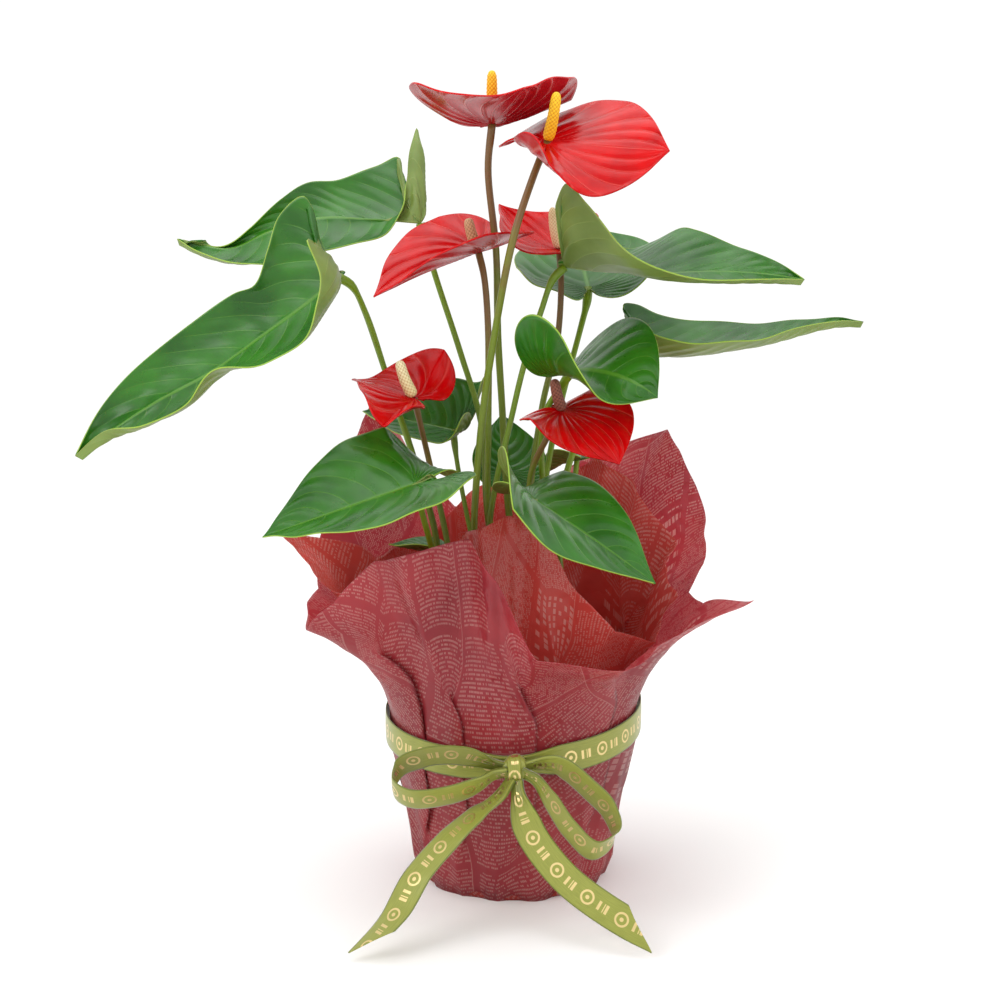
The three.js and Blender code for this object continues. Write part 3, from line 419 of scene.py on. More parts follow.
def matt_surface(name, dark, pale, size, roughness, depth):
    """A plain matt material with two colours blended by noise of a real size, and a matching bump."""
    material, tree = new_material(name)
    noise = grain(tree, size, 4.0)
    level = put(tree, "MapRange", {"Value": noise, "From Min": 0.35, "From Max": 0.65})
    colour = blend_colours(tree, level, dark, pale)
    bump = put(tree, "Bump", {"Height": noise, "Strength": 0.6, "Distance": depth * MM})
    inputs = {"Base Color": colour, "Roughness": roughness, "Normal": bump}
    finish_material(tree, put(tree, "BsdfPrincipled", inputs))
    return material


# living leaves: a waxed upper face and a paler, duller back where the veins stand up
LEAF_FACE = leaf_surface("waxed_leaf_face", "#2f7212", "#1f590c", "#5c9128", "#8fb03a", 0.27, -0.6)
LEAF_BACK = leaf_surface("dull_leaf_back", "#74893f", "#657a33", "#93a555", "#9fb04e", 0.42, 1.0)
# living spathes: smooth and waxy on both faces, with the veins sunk on the front and a painted highlight along
# them
SPATHE_FACE = spathe_surface("waxed_spathe_face", "#b00006", "#cf0407", "#dd4a40", 0.22, -1.0)
SPATHE_BACK = spathe_surface("waxed_spathe_back", "#9c0f1a", "#b01f27", "#cf7672", 0.26, 1.0)
# living stalks: smooth skin, green at the base
PETIOLE = stalk_surface("green_petiole_skin", "#627816", "#6f8d18", 0.4)
PEDUNCLE = stalk_surface("browning_peduncle_skin", "#6b7f17", "#74502a", 0.72)
# spadices of each ripeness, each with the name of a record slot
SPADICES = {
    # the third colour of each spadix is the painted shade in the seams between its flowers
    "yellow": (spadix_surface("yellow_spadix", "#f2b914", "#f4cf2c", "#cf8a0c"), "spadix_yellow"),
    "tan": (spadix_surface("tan_spadix", "#c49a70", "#cfa57d", "#8f6440"), "spadix_tan"),
    "cream": (spadix_surface("cream_spadix", "#e9c9a2", "#e8dba8", "#c08d5c"), "spadix_cream"),
    "pale": (spadix_surface("pale_cream_spadix", "#e6d69a", "#efe6bd", "#b99b60"), "spadix_cream"),
    "brown": (spadix_surface("dried_spadix", "#8a5040", "#935a46", "#54281f"), "spadix_brown"),
}
# wrapping film: printed translucent polypropylene, burgundy outside and coral inside
OUTER_FILM = film_surface("burgundy_pp_film", "#c4484f", "#a93842", "#efc4bb", 0.5, 20)
INNER_FILM = film_surface("coral_pp_film", "#dd5a50", "#c94a45", "#f4d3c8", 0.5, 63)
# ribbon: polyester satin with gold foil
RIBBON = ribbon_surface()
# pot: injection-moulded polypropylene with a dull black finish
POT_PLASTIC = matt_surface("dull_polypropylene", "#2b2725", "#35302d", 3, 0.5, 0.1)
# what is in the pot: moist peat, dry bark, fibrous crowns and papery dry sheaths
PEAT = matt_surface("moist_peat", "#24170f", "#4a3423", 4, 0.95, 1.0)
BARK = matt_surface("dry_bark", "#3a2618", "#6b4b31", 3, 0.9, 0.4)
CROWN_SKIN = matt_surface("fibrous_crown_skin", "#5c4a26", "#8a8a3c", 4, 0.7, 0.5)
SHEATH_SKIN = matt_surface("papery_dry_sheath", "#a4695a", "#c79580", 5, 0.6, 0.3)
# floor: matt white card
FLOOR_CARD = matt_surface("matt_white_card", "#fbfbfa", "#fdfdfc", 200, 0.9, 0.0)

# ---------------------------------------------------------------- making meshes


def make_mesh(name, grid, materials, uvs=None, loop=False):
    """A mesh from a grid of points, rows by columns, quads between neighbours, in millimetres.

    With loop the last column joins the first. uvs maps a layer's name to a pair for each point.
    Points in the same place are welded, which closes poles and seams.
    """
    rows, columns = grid.shape[:2]
    index = np.arange(rows * columns).reshape(rows, columns)
    across = np.concatenate([index, index[:, :1]], axis=1) if loop else index
    quads = np.stack([across[:-1, :-1], across[:-1, 1:], across[1:, 1:], across[1:, :-1]], axis=-1)
    mesh = bpy.data.meshes.new(f"fine_{name}")
    mesh.from_pydata((grid.reshape(-1, 3) * MM).tolist(), [], quads.reshape(-1, 4).tolist())
    for layer_name, pairs in (uvs or {}).items():
        layer = mesh.uv_layers.new(name=layer_name)
        corners = np.empty(len(mesh.loops), np.int64)
        mesh.loops.foreach_get("vertex_index", corners)
        layer.data.foreach_set("uv", np.ascontiguousarray(pairs.reshape(-1, 2)[corners]).ravel())
    for material in materials:
        mesh.materials.append(material)
    shape = bmesh.new()
    shape.from_mesh(mesh)
    bmesh.ops.remove_doubles(shape, verts=shape.verts, dist=1e-6)
    shape.to_mesh(mesh)
    shape.free()
    mesh.polygons.foreach_set("use_smooth", np.ones(len(mesh.polygons), bool))
    piece = bpy.data.objects.new(mesh.name, mesh)
    bpy.context.collection.objects.link(piece)
    return piece


def hand_in(piece, slot, *nodes):
    """Makes a piece ride on the plant and stand for its CAD nodes; slot is not used."""
    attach(piece, "root")
    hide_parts(*nodes)


def heading(head, pitch):
    """Unit vectors at a compass heading (0 is +X, 90 is +Y) and pitch above level, in degrees."""
    h, p = np.radians(head), np.radians(pitch)
    return np.stack([np.cos(p) * np.cos(h), np.cos(p) * np.sin(h), np.sin(p) + 0 * h], axis=-1)


def unit(vectors):
    """The vectors at length one."""
    return vectors / np.maximum(np.linalg.norm(vectors, axis=-1, keepdims=True), 1e-9)


def ease(x, low=0.0, high=1.0):
    """Rises smoothly from 0 at low to 1 at high: 3t squared minus 2t cubed."""
    t = np.clip((x - low) / (high - low), 0, 1)
    return t * t * (3 - 2 * t)


def waves(points, size, seed, count=7):
    """Smooth wandering between about -1 and 1: a mean of sine waves in random directions.

    Their wavelengths lie between two thirds and one and a half of size, in millimetres.
    """
    random = np.random.default_rng(seed)
    directions = unit(random.normal(size=(count, 3)))
    directions = directions * TAU / (size * random.uniform(0.67, 1.5, (count, 1)))
    return np.sin(points @ directions.T + random.uniform(0, TAU, count)).sum(-1) / np.sqrt(count)


def smooth_path(points, shares):
    """A curve through the points, read off at shares of its length.

    It is a centripetal Catmull-Rom spline: each span is a cubic whose end slopes come from its
    neighbours, weighted by the square roots of the spacings; both ends carry on straight.
    """
    p = np.asarray(points, float)
    p = np.vstack([2 * p[0] - p[1], p, 2 * p[-1] - p[-2]])
    step = np.sqrt(np.linalg.norm(np.diff(p, axis=0), axis=1))[:, None]
    p0, p1, p2, p3 = p[:-3], p[1:-2], p[2:-1], p[3:]
    d0, d1, d2 = step[:-2], step[1:-1], step[2:]
    slope1 = ((p1 - p0) / d0 - (p2 - p0) / (d0 + d1) + (p2 - p1) / d1) * d1
    slope2 = ((p2 - p1) / d1 - (p3 - p1) / (d1 + d2) + (p3 - p2) / d2) * d1
    t = np.linspace(0, 1, 33)[:, None, None]
    curve = (
        (2 * t**3 - 3 * t**2 + 1) * p1
        + (t**3 - 2 * t**2 + t) * slope1
        + (3 * t**2 - 2 * t**3) * p2
        + (t**3 - t**2) * slope2
    )
    curve = curve.transpose(1, 0, 2).reshape(-1, 3)
    length = np.concatenate([[0], np.cumsum(np.linalg.norm(np.diff(curve, axis=0), axis=1))])
    at = np.asarray(shares) * length[-1]
    return np.stack([np.interp(at, length, curve[:, k]) for k in range(3)], axis=-1)


def tube(path, radius, sides, aside=(0, 1, 0)):
    """Rings of points round a path, each at its radius; aside is any direction off the path."""
    tangent = unit(np.gradient(path, axis=0))
    side = unit(np.cross(tangent, aside))
    other = np.cross(tangent, side)
    angle = np.linspace(0, TAU, sides, endpoint=False)
    round_it = np.cos(angle)[:, None] * side[:, None] + np.sin(angle)[:, None] * other[:, None]
    return path[:, None] + np.asarray(radius)[:, None, None] * round_it


# ---------------------------------------------------------------- blades

LEAF = {"lobe": 0.33, "shoulder": 0.08, "waist": 0.22}
SPATHE = {"lobe": 0.33, "shoulder": 0.15, "waist": 0.32}


def heart_outline(shape, share):
    """Half of a flat heart from the notch at the stalk round the lobe to the tip.

    Three cubic Bezier curves end to end, a third of the share each; x is along the midrib in
    blade lengths and y across it in half widths.
    """
    lobe, shoulder, waist = shape["lobe"], shape["shoulder"], shape["waist"]
    curves = np.array(
        [
            [[0, 0], [-0.02, 0.06], [-lobe, 0.08], [-lobe, 0.48]],
            [[-lobe, 0.48], [-lobe, 0.83], [-0.14, 1], [shoulder, 1]],
            [[shoulder, 1], [shoulder + 0.38, 1], [0.78, waist], [1, 0]],
        ]
    )
    which = np.minimum((share * 3).astype(int), 2)
    t = (share * 3 - which)[:, None]
    a, b, c, d = curves[which].transpose(1, 0, 2)
    return (1 - t) ** 3 * a + 3 * t * (1 - t) ** 2 * b + 3 * t**2 * (1 - t) * c + t**3 * d


# turns that a pose may leave out, in degrees; a pair is for the left and the right half
UNTURNED = {
    "sweep": 0, "droop": 0, "roll": 0, "twist": 0, "open": 0,
    "tuck": (0, 0), "fold": (0, 0), "lift": (0, 0), "curl": (0, 0),
}


def posed_points(joint, pose, x, y, side):
    """Places on one half of a posed blade.

    The midrib leaves the joint and turns evenly by droop, sweep and twist. Each half rises from
    flat by its fold, rolls up more towards its margin by its curl, and its lobe by its lift; tuck
    turns the lobe up from lying back along the midrib.
    """
    pose = {**UNTURNED, **pose}
    pick = 0 if side > 0 else 1
    tuck, fold, lift, curl = [pose[key][pick] for key in ("tuck", "fold", "lift", "curl")]
    head, pitch, sweep, droop = [pose[key] for key in ("head", "pitch", "sweep", "droop")]
    length, half = pose["length"], pose["half"]
    ahead, behind = np.maximum(x, 0), np.maximum(-x, 0)
    back = behind / LEAF["lobe"]
    forward = heading(head + sweep * x, pitch - droop * x)
    level = heading(head + sweep * x + 90, 0 * x)
    upright = np.cross(forward, level)
    turn = np.radians(pose["roll"] + pose["twist"] * x)[..., None]
    left = level * np.cos(turn) + upright * np.sin(turn)
    up = upright * np.cos(turn) - level * np.sin(turn)
    tuck = np.radians(tuck * np.minimum(1, back))
    rise = np.radians(fold * (1 - pose["open"] * ahead) + lift * back + curl * y / 2)
    middle = heading(head + sweep * ahead / 2, pitch - droop * ahead / 2)
    place = np.asarray(joint) + (ahead * length)[..., None] * middle
    place = place - (behind * length * np.cos(tuck))[..., None] * forward
    place = place + (behind * length * np.sin(tuck) + y * half * np.sin(rise))[..., None] * up
    return place + (side * y * half * np.cos(rise))[..., None] * left


def posed_half(joint, pose, shape, along, across, side):
    """One half of a posed blade as a grid: rows from midrib to outline, from notch to tip."""
    rim = heart_outline(shape, along)
    root = np.maximum(0, (rim[:, 0] + 0.05) / 1.05)
    x = root[:, None] + (rim[:, 0] - root)[:, None] * across
    y = rim[:, 1][:, None] * across
    return posed_points(joint, pose, x, y, side)


def draped_half(joint, drape, along, across, side):
    """One half of a draped blade: straight rows from its midrib to its margin, bellied by its bow.

    Midrib and margin are smooth paths through their bends; rows in the first third of the margin
    start at the joint, and the belly is four times share times its remainder, along the normal.
    """
    key, pick = ("left", 0) if side > 0 else ("right", 1)
    rib = [joint, *drape["midrib"], drape["tip"]]
    rim = [joint, *drape[key], drape["tip"]]
    root = smooth_path(rib, np.maximum(0, (3 * along - 1) / 2))
    edge = smooth_path(rim, along)
    run = unit(smooth_path(rim, np.minimum(1, along + 0.01)) - smooth_path(rim, along - 0.01))
    belly = side * unit(np.cross(edge - root, run))
    rows = root[:, None] + (edge - root)[:, None] * across[:, None]
    rise = (4 * across * (1 - across))[:, None] * drape.get("bow", (0, 0))[pick]
    return rows + belly[:, None] * rise


def blade_grid(spec, shape, rows, columns):
    """The whole blade as one grid from left margin to right margin, with along and across."""
    along = np.linspace(0.012, 1, rows)
    across = np.linspace(0, 1, columns)
    halves = []
    for side in (1, -1):
        if "pose" in spec:
            half = posed_half(spec["joint"], spec["pose"], shape, along, across, side)
        else:
            half = draped_half(spec["joint"], spec["drape"], along, across, side)
        halves.append(half)
    grid = np.concatenate([halves[0][:, ::-1], halves[1][:, 1:]], axis=1)
    signed = np.concatenate([across[::-1], -across[1:]])
    return grid, *np.meshgrid(along, signed, indexing="ij")


def blade_normals(grid):
    """Upward unit normals of a blade's grid; those on the midrib come from either side of it."""
    normal = np.cross(np.gradient(grid, axis=0), np.gradient(grid, axis=1))
    middle = grid.shape[1] // 2
    normal[:, middle] = normal[:, middle - 1] + normal[:, middle + 1]
    return -unit(normal)


def arch_coordinate(shape, pose_ratio, along, across):
    """Which arch from joint to tip a point lies on, counted from the midrib, nine to a half.

    It is the angle at the joint plus six tenths of the angle at the tip, on the flat heart.
    """
    rim = heart_outline(shape, along[:, 0])
    root = np.maximum(0, (rim[:, 0] + 0.05) / 1.05)[:, None]
    x = root + (rim[:, :1] - root) * np.abs(across)
    y = rim[:, 1:] * np.abs(across) * pose_ratio
    angle = np.arctan2(y, x + 1e-6) + 0.6 * np.arctan2(y, 1.0001 - x)
    return angle / np.pi * 9


def ridge(phase, width):
    """A rounded groove of depth 1 at each whole number of the phase."""
    offset = np.abs(phase - np.round(phase))
    return np.exp(-((offset / width) ** 2))


def make_blade(name, spec, shape, faces, rows, columns, thickness, relief, slot):
    """A leaf or spathe: one welded sheet with sunken veins, given a thickness and a back face.

    Leaf relief follows side veins and spathe relief follows the arches; both fade out at the
    margin and the midrib, and a little slow waviness is added towards the margin.
    """
    grid, along, across = blade_grid(spec, shape, rows, columns)
    width = np.abs(across)
    span = spec.get("pose", {"length": 100, "half": 55})
    arch = arch_coordinate(shape, span["half"] / span["length"], along, across)
    if shape is SPATHE:
        veins = ridge(arch, 0.2)
    else:
        veins = ridge(17 * along - 2.6 * width**1.5, 0.22)
    fade = ease(width, 0.0, 0.12) * (1 - ease(width, 0.82, 1.0))
    fade = fade * ease(along, 0.0, 0.15) * (1 - ease(along, 0.9, 1))
    normal = blade_normals(grid)
    seed = sum(ord(letter) for letter in name)
    wavy = waves(grid, 34, seed) * ease(width, 0.2, 1.0) * 0.9
    lift = (-relief * veins) * fade + wavy * ease(along, 0.02, 0.2) * (1 - ease(along, 0.93, 1))
    grid = grid + normal * lift[..., None]
    uvs = {
        "blade": np.stack([along, width], axis=-1),
        "arches": np.stack([arch, width], axis=-1),
    }
    piece = make_mesh(name, grid, faces, uvs)
    wall = piece.modifiers.new("thickness", "SOLIDIFY")
    wall.thickness = thickness * MM
    wall.offset = 0
    wall.material_offset = 1
    hand_in(piece, slot, name)
    return piece


# ---------------------------------------------------------------- stalks and spadices

CROWNS = {"left": (-27, -8), "middle": (1, 13), "right": (20, -18)}
STALK_RING = 9.0  # radius of the ring on a crown that its stalks rise from
STALK_SIDES = 18
SPADIX_SUNK = 1.6  # how far a spadix starts inside its joint


def foot_of(spec):
    """Where a stalk leaves its crown."""
    x, y = CROWNS[spec["crown"]]
    angle = np.radians(spec["foot"])
    return np.array([x + STALK_RING * np.cos(angle), y + STALK_RING * np.sin(angle), STALK_BASE])


def make_stalk(name, spec, material, slot, swelling):
    """A stalk from its crown to its blade: a tube that is stout at its base and slims upward.

    Its radius is the given one, a quarter more at the foot, and for a leaf half as much again
    over the last 12 mm, the joint that steers the blade.
    """
    foot = foot_of(spec)
    joint = np.asarray(spec["joint"], float)
    bends = [foot, foot + [0, 0, 10], *spec["bends"], joint]
    share = np.linspace(0, 1, 90)
    path = smooth_path(bends, share)
    length = np.linalg.norm(np.diff(path, axis=0), axis=1).sum()
    to_end = (1 - share) * length
    radius = spec["stalk_radius"] * (0.9 + 0.35 * (1 - ease(share, 0, 0.25)))
    radius = radius + spec["stalk_radius"] * swelling * ease(-to_end, -16, -6)
    radius = radius * (1 + 0.03 * waves(path, 30, len(name)))
    path = np.concatenate([path[:1], path, path[-1:]])
    radius = np.concatenate([[0], radius, [0]])
    share = np.concatenate([[0], share, [1]])
    grid = tube(path, radius, STALK_SIDES)
    uv = np.stack(np.meshgrid(share, np.linspace(0, 1, STALK_SIDES), indexing="ij"), axis=-1)
    piece = make_mesh(name, grid, [material], {"stalk": uv}, loop=True)
    hand_in(piece, slot, name)
    return piece


def make_spadix(name, spec):
    """A spadix: a blunt rod packed with tiny flowers in crossing spirals.

    The rod's radius swells, holds and rounds off; the flowers are the product of two spiral
    waves, eight each way round, raised a twentieth of the radius.
    """
    rod = spec["spadix"]
    material, slot = SPADICES[rod["ripeness"]]
    turns = np.linspace(0, 1, 96, endpoint=False)
    along, around = np.meshgrid(np.linspace(0, 1, 150), turns, indexing="ij")
    profile = np.sqrt(np.clip(1 - ((along - 0.5) * 2) ** 8, 0, 1)) * (1 - 0.22 * along)
    rows = rod["length"] / rod["radius"] * 1.6
    one_way = np.sin(np.pi * (8 * around + rows * along))
    other_way = np.sin(np.pi * (8 * around - rows * along))
    flowers = np.sqrt(np.abs(one_way * other_way))
    radius = rod["radius"] * profile * (0.96 + 0.11 * flowers)
    direction = heading(rod["head"], rod["pitch"])
    bow = heading(rod["head"], rod["pitch"] - 90) * rod["length"] * 0.05
    start = np.asarray(spec["joint"]) + direction * (HUB - SPADIX_SUNK)
    path = start + direction * (along[:, :1] * (rod["length"] + SPADIX_SUNK))
    path = path + bow * np.sin(np.pi * along[:, :1])
    grid = tube(path, np.ones(len(path)), len(turns), heading(rod["head"] + 90, 0))
    grid = path[:, None] + (grid - path[:, None]) * radius[..., None]
    uv = np.stack([along, flowers], axis=-1)
    piece = make_mesh(name, grid, [material], {"stalk": uv}, loop=True)
    hand_in(piece, slot, name)
    return piece


# ---------------------------------------------------------------- the plant

LEAVES = [
    {
        "crown": "left", "foot": 175, "stalk_radius": 1.8, "joint": (-88, -10, 312),
        "bends": [(-40, -3, 178), (-52, -2, 222), (-59, 4, 242), (-67, 15, 264), (-76, 5, 294), (-82, -6, 308)],
        "drape": {
            "midrib": [(-97, -14, 304), (-121, -22, 286), (-147, -30, 267), (-178, -38, 250)],
            "left": [(-93, -22, 319), (-95, -34, 327), (-100, -40, 330), (-93, -46, 313), (-94, -58, 297),
                     (-101, -64, 281), (-118, -64, 272), (-142, -60, 268), (-157, -56, 252), (-179, -52, 242),
                     (-199, -48, 238)],
            "right": [(-93, 0, 320), (-100, 10, 333), (-108, 18, 353), (-119, 8, 344), (-124, -4, 326),
                      (-130, -12, 308), (-140, -14, 304), (-159, -16, 291), (-186, -24, 269), (-202, -32, 251)],
            "tip": (-214, -45, 226),
            "bow": (4, 4),
        },
    },
    {
        "crown": "middle", "foot": 130, "stalk_radius": 1.8, "joint": (-49, 35, 340),
        "bends": [(-14, 22, 190), (-17, 27, 235), (-28, 34, 272), (-42, 37, 315)],
        "drape": {
            "midrib": [(-76, 38, 342), (-102, 40, 343), (-129, 38, 336), (-150, 36, 327)],
            "left": [(-49, 48, 358), (-52, 66, 392), (-56, 52, 371), (-58, 36, 350), (-66, 22, 334),
                     (-84, 14, 328), (-103, 10, 323), (-125, 10, 319), (-149, 16, 320), (-160, 22, 323)],
            "right": [(-56, 44, 349), (-62, 56, 364), (-63, 66, 377), (-75, 62, 371), (-94, 56, 364),
                      (-110, 52, 362), (-124, 46, 353), (-140, 40, 338), (-154, 36, 328)],
            "tip": (-177, 34, 332),
            "bow": (3, 3),
        },
    },
    {
        "crown": "left", "foot": 25, "stalk_radius": 1.7, "joint": (26, 5, 317),
        "bends": [(-11, -8, 197), (-1, -9, 242), (5, -6, 267), (14, 1, 295), (20, 4, 311)],
        "drape": {
            "midrib": [(41, 0, 315), (60, -4, 314), (78, -6, 314), (99, -6, 315), (124, -6, 314)],
            "left": [(30, 18, 325), (43, 30, 331), (62, 34, 327), (73, 34, 331), (88, 30, 338),
                     (96, 26, 336), (112, 18, 329), (123, 8, 325), (135, 0, 319)],
            "right": [(23, -4, 328), (21, -10, 348), (26, -14, 358), (35, -26, 348), (51, -38, 328),
                      (63, -44, 319), (74, -46, 314), (88, -42, 311), (103, -34, 310), (119, -22, 311)],
            "tip": (146, -8, 311),
            "bow": (3, 3),
        },
    },
    {
        "crown": "right", "foot": 80, "stalk_radius": 1.8, "joint": (41, 58, 306),
        "bends": [(15, 4, 190), (20, 20, 223), (26, 32, 248), (36, 47, 283), (40, 54, 298)],
        "pose": {"head": 95, "pitch": 28, "length": 75, "half": 42, "fold": (15, 25), "lift": (10, 10)},
    },
    {
        "crown": "right", "foot": 30, "stalk_radius": 1.8, "joint": (67, 30, 271),
        "bends": [(24, 2, 190), (33, 18, 225), (51, 28, 258)],
        "drape": {
            "midrib": [(90, 28, 272), (110, 26, 276), (127, 24, 279), (145, 24, 283), (167, 24, 289)],
            "left": [(68, 44, 281), (62, 54, 291), (60, 60, 297), (68, 64, 297), (80, 66, 292),
                     (94, 66, 289), (115, 62, 288), (135, 54, 287), (154, 44, 289), (171, 32, 291)],
            "right": [(63, 16, 276), (57, 6, 287), (63, -2, 287), (76, -8, 281), (86, -10, 279),
                      (99, -10, 279), (119, -6, 280), (140, 4, 284), (160, 14, 289)],
            "tip": (183, 22, 289),
            "bow": (3, 3),
        },
    },
    {
        "crown": "right", "foot": 330, "stalk_radius": 1.7, "joint": (29, -30, 267), "back": LEAF_FACE,
        "bends": [(17, -9, 190), (14, -11, 224), (16, -18, 245), (22, -22.5, 256)],
        "pose": {
            "head": -22, "pitch": 4, "roll": 8, "length": 46, "half": 54, "droop": 40, "sweep": -5,
            "twist": 38, "fold": (2, -13), "curl": (20, 105),
        },
    },
    {
        "crown": "left", "foot": 230, "stalk_radius": 1.7, "joint": (-48, -56, 213),
        "bends": [(-38, -34, 165), (-45, -50, 199)],
        "pose": {
            "head": 195, "pitch": -17, "roll": -10, "length": 77, "half": 45, "twist": -12,
            "fold": (12, 28), "curl": (-12, -5), "lift": (0, -50),
        },
    },
    {
        "crown": "right", "foot": 270, "stalk_radius": 1.7, "joint": (9, -58, 206),
        "bends": [(14, -40, 160), (8, -55, 192)],
        "pose": {
            "head": -15, "pitch": -31, "length": 71, "half": 44, "droop": 3, "twist": 34,
            "fold": (10, 20), "curl": (7, -35), "lift": (-30, 25),
        },
    },
    {
        "crown": "middle", "foot": 190, "stalk_radius": 1.4, "joint": (-32, 31, 231),
        "bends": [(-22, 18, 175), (-30, 28, 215)],
        "pose": {"head": 165, "pitch": 10, "length": 52, "half": 30, "fold": (-10, 60), "tuck": (60, 60)},
    },
    {
        "crown": "middle", "foot": 90, "stalk_radius": 1.2, "joint": (-2, 40, 208),
        "bends": [(-1, 32, 170), (-2, 38, 196)],
        "pose": {"head": 100, "pitch": 50, "length": 38, "half": 21, "fold": (15, 15)},
    },
    {
        "crown": "right", "foot": 125, "stalk_radius": 1.1, "joint": (35, 48, 213),
        "bends": [(21, 16, 160), (33, 41, 200)],
        "pose": {"head": 130, "pitch": -10, "length": 26, "half": 16, "droop": 20, "fold": (20, 20)},
    },
    {
        "crown": "left", "foot": 130, "stalk_radius": 1.1, "joint": (-41, 21, 166),
        "bends": [(-38, 13, 150)],
        "pose": {"head": 200, "pitch": 14, "length": 27, "half": 17, "fold": (15, 20)},
    },
]

FLOWERS = [
    {
        "crown": "middle", "foot": 300, "stalk_radius": 2, "joint": (-11, 1, 388),
        "bends": [(-3, 8, 197), (-6, 8, 247), (-8, 7, 281), (-9, 4, 325), (-13, 2, 366)],
        "pose": {
            "head": -72, "pitch": 12, "length": 56, "half": 46, "sweep": -5, "twist": 20,
            "fold": (10, 10), "curl": (16, 28), "lift": (20, 0),
        },
        "spadix": {"head": 270, "pitch": 75, "length": 24, "radius": 3, "ripeness": "yellow"},
    },
    {
        "crown": "left", "foot": 330, "stalk_radius": 2, "joint": (16, -27, 377),
        "bends": [(-20, -17, 191), (-15, -20, 249), (-10, -28, 282), (-1, -39, 329), (9, -34, 360)],
        "pose": {
            "head": 0, "pitch": -5, "roll": 15, "length": 60, "half": 52, "sweep": -28, "twist": 34,
            "fold": (8, -19), "curl": (-8, 35), "lift": (-12, 12),
        },
        "spadix": {"head": 290, "pitch": 62, "length": 23, "radius": 3, "ripeness": "yellow"},
    },
    {
        "crown": "middle", "foot": 250, "stalk_radius": 1.9, "joint": (-18, -1, 325),
        "bends": [(-13, 2, 194), (-13, -3, 234), (-13, -5, 285), (-15, -4, 312)],
        "pose": {
            "head": 210, "pitch": -18, "roll": -10, "length": 63, "half": 37, "droop": 6, "twist": 12,
            "fold": (18, 23), "curl": (14, 0), "lift": (-4, -8),
        },
        "spadix": {"head": 212, "pitch": 70, "length": 15, "radius": 3, "ripeness": "tan"},
    },
    {
        "crown": "right", "foot": 180, "stalk_radius": 1.8, "joint": (24, 28, 326),
        "bends": [(8, 2, 190), (15, 14, 245), (23, 22, 279), (25, 26, 310)],
        "pose": {
            "head": 147, "pitch": 13, "roll": -13, "length": 45, "half": 34, "droop": -40, "twist": 13,
            "fold": (12, 25),
        },
        "spadix": {"head": 200, "pitch": 80, "length": 20, "radius": 2.6, "ripeness": "cream"},
    },
    {
        "crown": "left", "foot": 280, "stalk_radius": 1.7, "joint": (-50, -19, 252),
        "bends": [(-34, -13, 178), (-42, -6, 213), (-47, -13, 237)],
        "pose": {
            "head": 163, "pitch": 19, "roll": -5, "length": 34, "half": 35, "droop": 8, "sweep": 7,
            "twist": 25, "fold": (-8, 16), "curl": (-15, 50), "lift": (33, -28),
        },
        "spadix": {"head": 200, "pitch": 68, "length": 18, "radius": 3.1, "ripeness": "pale"},
    },
    {
        "crown": "right", "foot": 220, "stalk_radius": 1.7, "joint": (24, -24, 246),
        "bends": [(8, -13, 190), (9, -14, 214), (17, -22, 233)],
        "pose": {
            "head": -27, "pitch": -18, "roll": 12, "length": 41, "half": 36, "droop": 39, "sweep": -11,
            "twist": 14, "fold": (6, 0), "curl": (-4, 19), "lift": (-24, -8),
        },
        "spadix": {"head": 240, "pitch": 62, "length": 16, "radius": 3, "ripeness": "brown"},
    },
]

for number, leaf in enumerate(LEAVES, 1):
    name = f"leaf_{number}"
    faces = [LEAF_FACE, leaf.get("back", LEAF_BACK)]
    make_blade(f"{name}_blade", leaf, LEAF, faces, 120, 34, 0.6, 0.5, "leaf")
    make_stalk(f"{name}_petiole", leaf, PETIOLE, "petiole", 0.45)

for number, flower in enumerate(FLOWERS, 1):
    name = f"flower_{number}"
    faces = [SPATHE_FACE, SPATHE_BACK]
    make_blade(f"{name}_spathe", flower, SPATHE, faces, 120, 40, 0.8, 0.7, "spathe")
    make_stalk(f"{name}_peduncle", flower, PEDUNCLE, "peduncle", 0.1)
    make_spadix(f"{name}_spadix", flower)

# ---------------------------------------------------------------- pot, mix, crowns and sheaths


def turned(profile, columns):
    """Rings of points about the Z axis from radius and height pairs."""
    profile = np.asarray(profile, float)
    angle = np.linspace(0, TAU, columns, endpoint=False)
    ring = np.stack([np.cos(angle), np.sin(angle), 0 * angle], axis=-1)
    return profile[:, None, :1] * ring + profile[:, None, 1:] * np.array([0, 0, 1])


def make_pot():
    """A thin-walled grower pot that widens upward to a rolled lip, standing on a recessed floor."""
    slope = (POT_RIM - POT_LIP - POT_BASE) / POT_HEIGHT
    under_lip = POT_HEIGHT - 9
    outside = [(POT_BASE, 0.4), (POT_BASE + slope * under_lip, under_lip)]
    lip = [(POT_RIM - 0.6, under_lip), (POT_RIM, under_lip + 0.6), (POT_RIM, POT_HEIGHT - 1)]
    inside = [(POT_RIM - 0.8, POT_HEIGHT), (POT_RIM - POT_LIP - POT_WALL, POT_HEIGHT - 0.5)]
    floor_in = [(POT_BASE - POT_WALL + slope * 4.2, 4.2), (0, 4.2)]
    under = [(0, 3), (POT_BASE - 2 * POT_WALL, 3), (POT_BASE - POT_WALL, 0), (POT_BASE - 0.4, 0)]
    profile = np.array(under + outside + lip + inside + floor_in) + [0, POT_FLOOR]
    piece = make_mesh("grower_pot", turned(profile, 96), [POT_PLASTIC], loop=True)
    edges = piece.modifiers.new("rounded", "BEVEL")
    edges.width = 0.3 * MM
    edges.segments = 2
    edges.limit_method = "ANGLE"
    hand_in(piece, "pot", "grower_pot")


